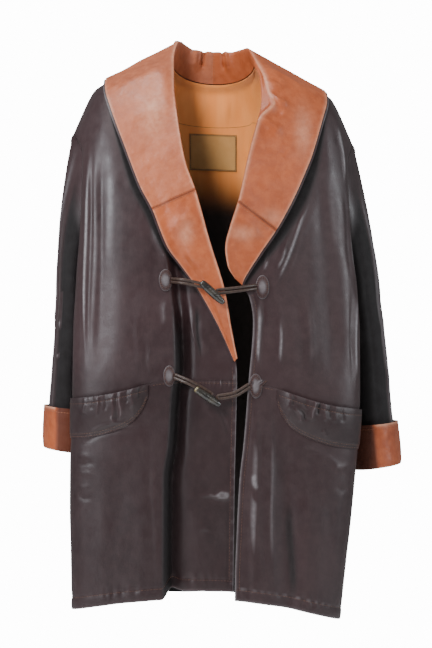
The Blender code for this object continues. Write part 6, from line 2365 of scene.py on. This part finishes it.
    def build_toggle(self) -> None:
        """Makes the horn toggle in front of its cords and dresses it."""
        (x0, z0), (x1, z1) = self.toggle
        thickest = float(TOGGLE_SHAPE["radius"].max())
        depth = self.depth - self.cord_radius - thickest - self.layer + self.sink
        shares = np.linspace(0, 1, self.toggle_points)
        radius = curve(TOGGLE_SHAPE, "radius", shares)
        radius = radius * sum((deep * np.sin(rate * shares + at) for deep, rate, at in self.carving), 1)
        x, z = x0 + (x1 - x0) * shares, z0 + (z1 - z0) * shares
        line = np.stack([x, np.full_like(x, depth), z], axis=1)
        points, faces = rod(line, radius, self.toggle_sides)
        node = f"toggle_{self.name}"
        pale = None
        if self.pale_from < 1:
            pale = np.repeat(ease((self.pale_from - shares) / self.pale_span), self.toggle_sides)
        place(add_mesh(f"{node}_horn", points, faces, HORN, pale), Slot.HORN, node)


@dataclass
class Lamp:
    """A soft box of the studio."""

    name: str
    spot: Triple
    target: Triple
    size: Pair
    power: float
    colour: Triple = (1.0, 1.0, 1.0)
    glare: bool = True

    def build(self) -> None:
        """Hangs the soft box and turns it to its target."""
        light = bpy.data.lights.new(self.name, "AREA")
        light.shape = "ELLIPSE"
        light.size, light.size_y = self.size
        light.energy = self.power
        light.color = self.colour
        made = bpy.data.objects.new(self.name, light)
        made.location = self.spot
        made.visible_glossy = self.glare
        made.rotation_euler = (Vector(self.target) - Vector(self.spot)).to_track_quat("-Z", "Y").to_euler()
        bpy.context.scene.collection.objects.link(made)


@dataclass
class Studio:
    """Pale floor, soft light and the camera."""

    floor_z: float = -1.30
    floor_half: float = 1.7
    pixel: float = 0.00168
    tall: int = 648
    distance: float = 3.5
    aim: Pair = (0.005, -0.4015)
    sensor: float = 36.0
    ambient: float = 0.26
    white: float = 14.0
    lamps: tuple[Lamp, ...] = (
        Lamp("key_box", (-1.0, -2.9, 0.75), (0.0, 0.0, -0.30), (0.7, 0.7), 104.0, glare=False),
        Lamp("top_box", (-0.9, -0.95, 2.15), (0.0, 0.0, -0.05), (1.3, 1.3), 50.0),
        Lamp("side_box_left", (-2.2, -1.25, 0.45), (-0.1, 0.0, -0.2), (0.45, 1.4), 52.0, (0.90, 0.95, 1.0)),
        Lamp("side_box_right", (2.2, -0.5, 0.2), (0.1, 0.0, -0.3), (0.30, 1.8), 26.0, (0.90, 0.95, 1.0)),
        Lamp("fill_box", (1.5, -2.6, 0.5), (0.0, 0.0, -0.35), (1.2, 1.2), 12.0),
    )

    def build(self) -> None:
        """Sets up floor, light and camera."""
        self.build_floor()
        self.build_world()
        for lamp in self.lamps:
            lamp.build()
        lens = bpy.data.cameras.new("photo_camera")
        lens.sensor_width = self.sensor
        lens.lens = self.sensor * self.distance / (self.tall * self.pixel)
        lens.dof.use_dof = False
        camera = bpy.data.objects.new("photo_camera", lens)
        camera.location = (self.aim[0], -self.distance, self.aim[1])
        camera.rotation_euler = (math.pi / 2, 0.0, 0.0)
        bpy.context.scene.collection.objects.link(camera)
        bpy.context.scene.camera = camera

    def build_floor(self) -> None:
        """Lays the floor."""
        a, z = self.floor_half, self.floor_z
        mesh = bpy.data.meshes.new("floor")
        mesh.from_pydata([(-a, -a, z), (a, -a, z), (a, a, z), (-a, a, z)], [], [(0, 1, 2, 3)])
        mesh.materials.append(FLOOR.material())
        floor = bpy.data.objects.new("floor", mesh)
        bpy.context.scene.collection.objects.link(floor)

    def build_world(self) -> None:
        """Sets the white surround, which lights the garment softly."""
        world = bpy.data.worlds.new("white_surround")
        world.use_nodes = True
        tree = world.node_tree
        path = tree.nodes.new("ShaderNodeLightPath")
        spread = tree.nodes.new("ShaderNodeMapRange")
        spread.inputs["To Min"].default_value = self.ambient
        spread.inputs["To Max"].default_value = self.white
        tree.links.new(path.outputs["Is Camera Ray"], spread.inputs["Value"])
        ground = tree.nodes["Background"]
        ground.inputs["Color"].default_value = (1.0, 1.0, 1.0, 1.0)
        tree.links.new(spread.outputs[0], ground.inputs["Strength"])
        bpy.context.scene.world = world


FASTENINGS = (
    Fastening(
        "upper",
        patches={Side.RIGHT: (0.0765, -0.3335, 0.0110, 0.0180),
                 Side.LEFT: (0.0800, -0.3390, 0.0110, 0.0195)},
        bends={Side.RIGHT: (-0.046, -0.3350), Side.LEFT: (0.042, -0.3440)},
        ends={Side.RIGHT: (-0.0120, -0.3410), Side.LEFT: (0.0090, -0.3490)},
        toggle=((-0.0190, -0.3345), (0.0178, -0.3680)),
    ),
    Fastening(
        "lower",
        patches={Side.RIGHT: (0.0705, -0.4880, 0.0095, 0.0170),
                 Side.LEFT: (0.0690, -0.4990, 0.0105, 0.0200)},
        bends={Side.RIGHT: (-0.034, -0.4985), Side.LEFT: (0.034, -0.5135)},
        ends={Side.RIGHT: (-0.0040, -0.5150), Side.LEFT: (0.0100, -0.5190)},
        toggle=((-0.0279, -0.5060), (0.0120, -0.5320)),
        sink=0.0008,
        pale_from=0.10,
    ),
)


def main() -> None:
    """Builds the jacket piece by piece, then the studio round it."""
    logging.basicConfig(level=logging.INFO, format="%(name)s %(message)s")
    form = TorsoForm()
    fronts, back = Fronts(form), Back(form)
    fronts.build()
    back.build(float(fronts.waist(fronts.sheets[Side.RIGHT])[1][-1]))
    fronts.sew()
    back.sew()
    tree = face_tree([*fronts.pieces.values(), back.cloth])
    for side in Side:
        Sleeve(form, side, tree).build()
        Pocket(side, fronts, tree).build()
        Collar(side, fronts.pieces[f"front_{side.word}_upper"], back, tree).build()
    NeckLining(back).build()
    for fastening in FASTENINGS:
        fastening.build(tree)
    Studio().build()


if __name__ == "__main__":
    main()
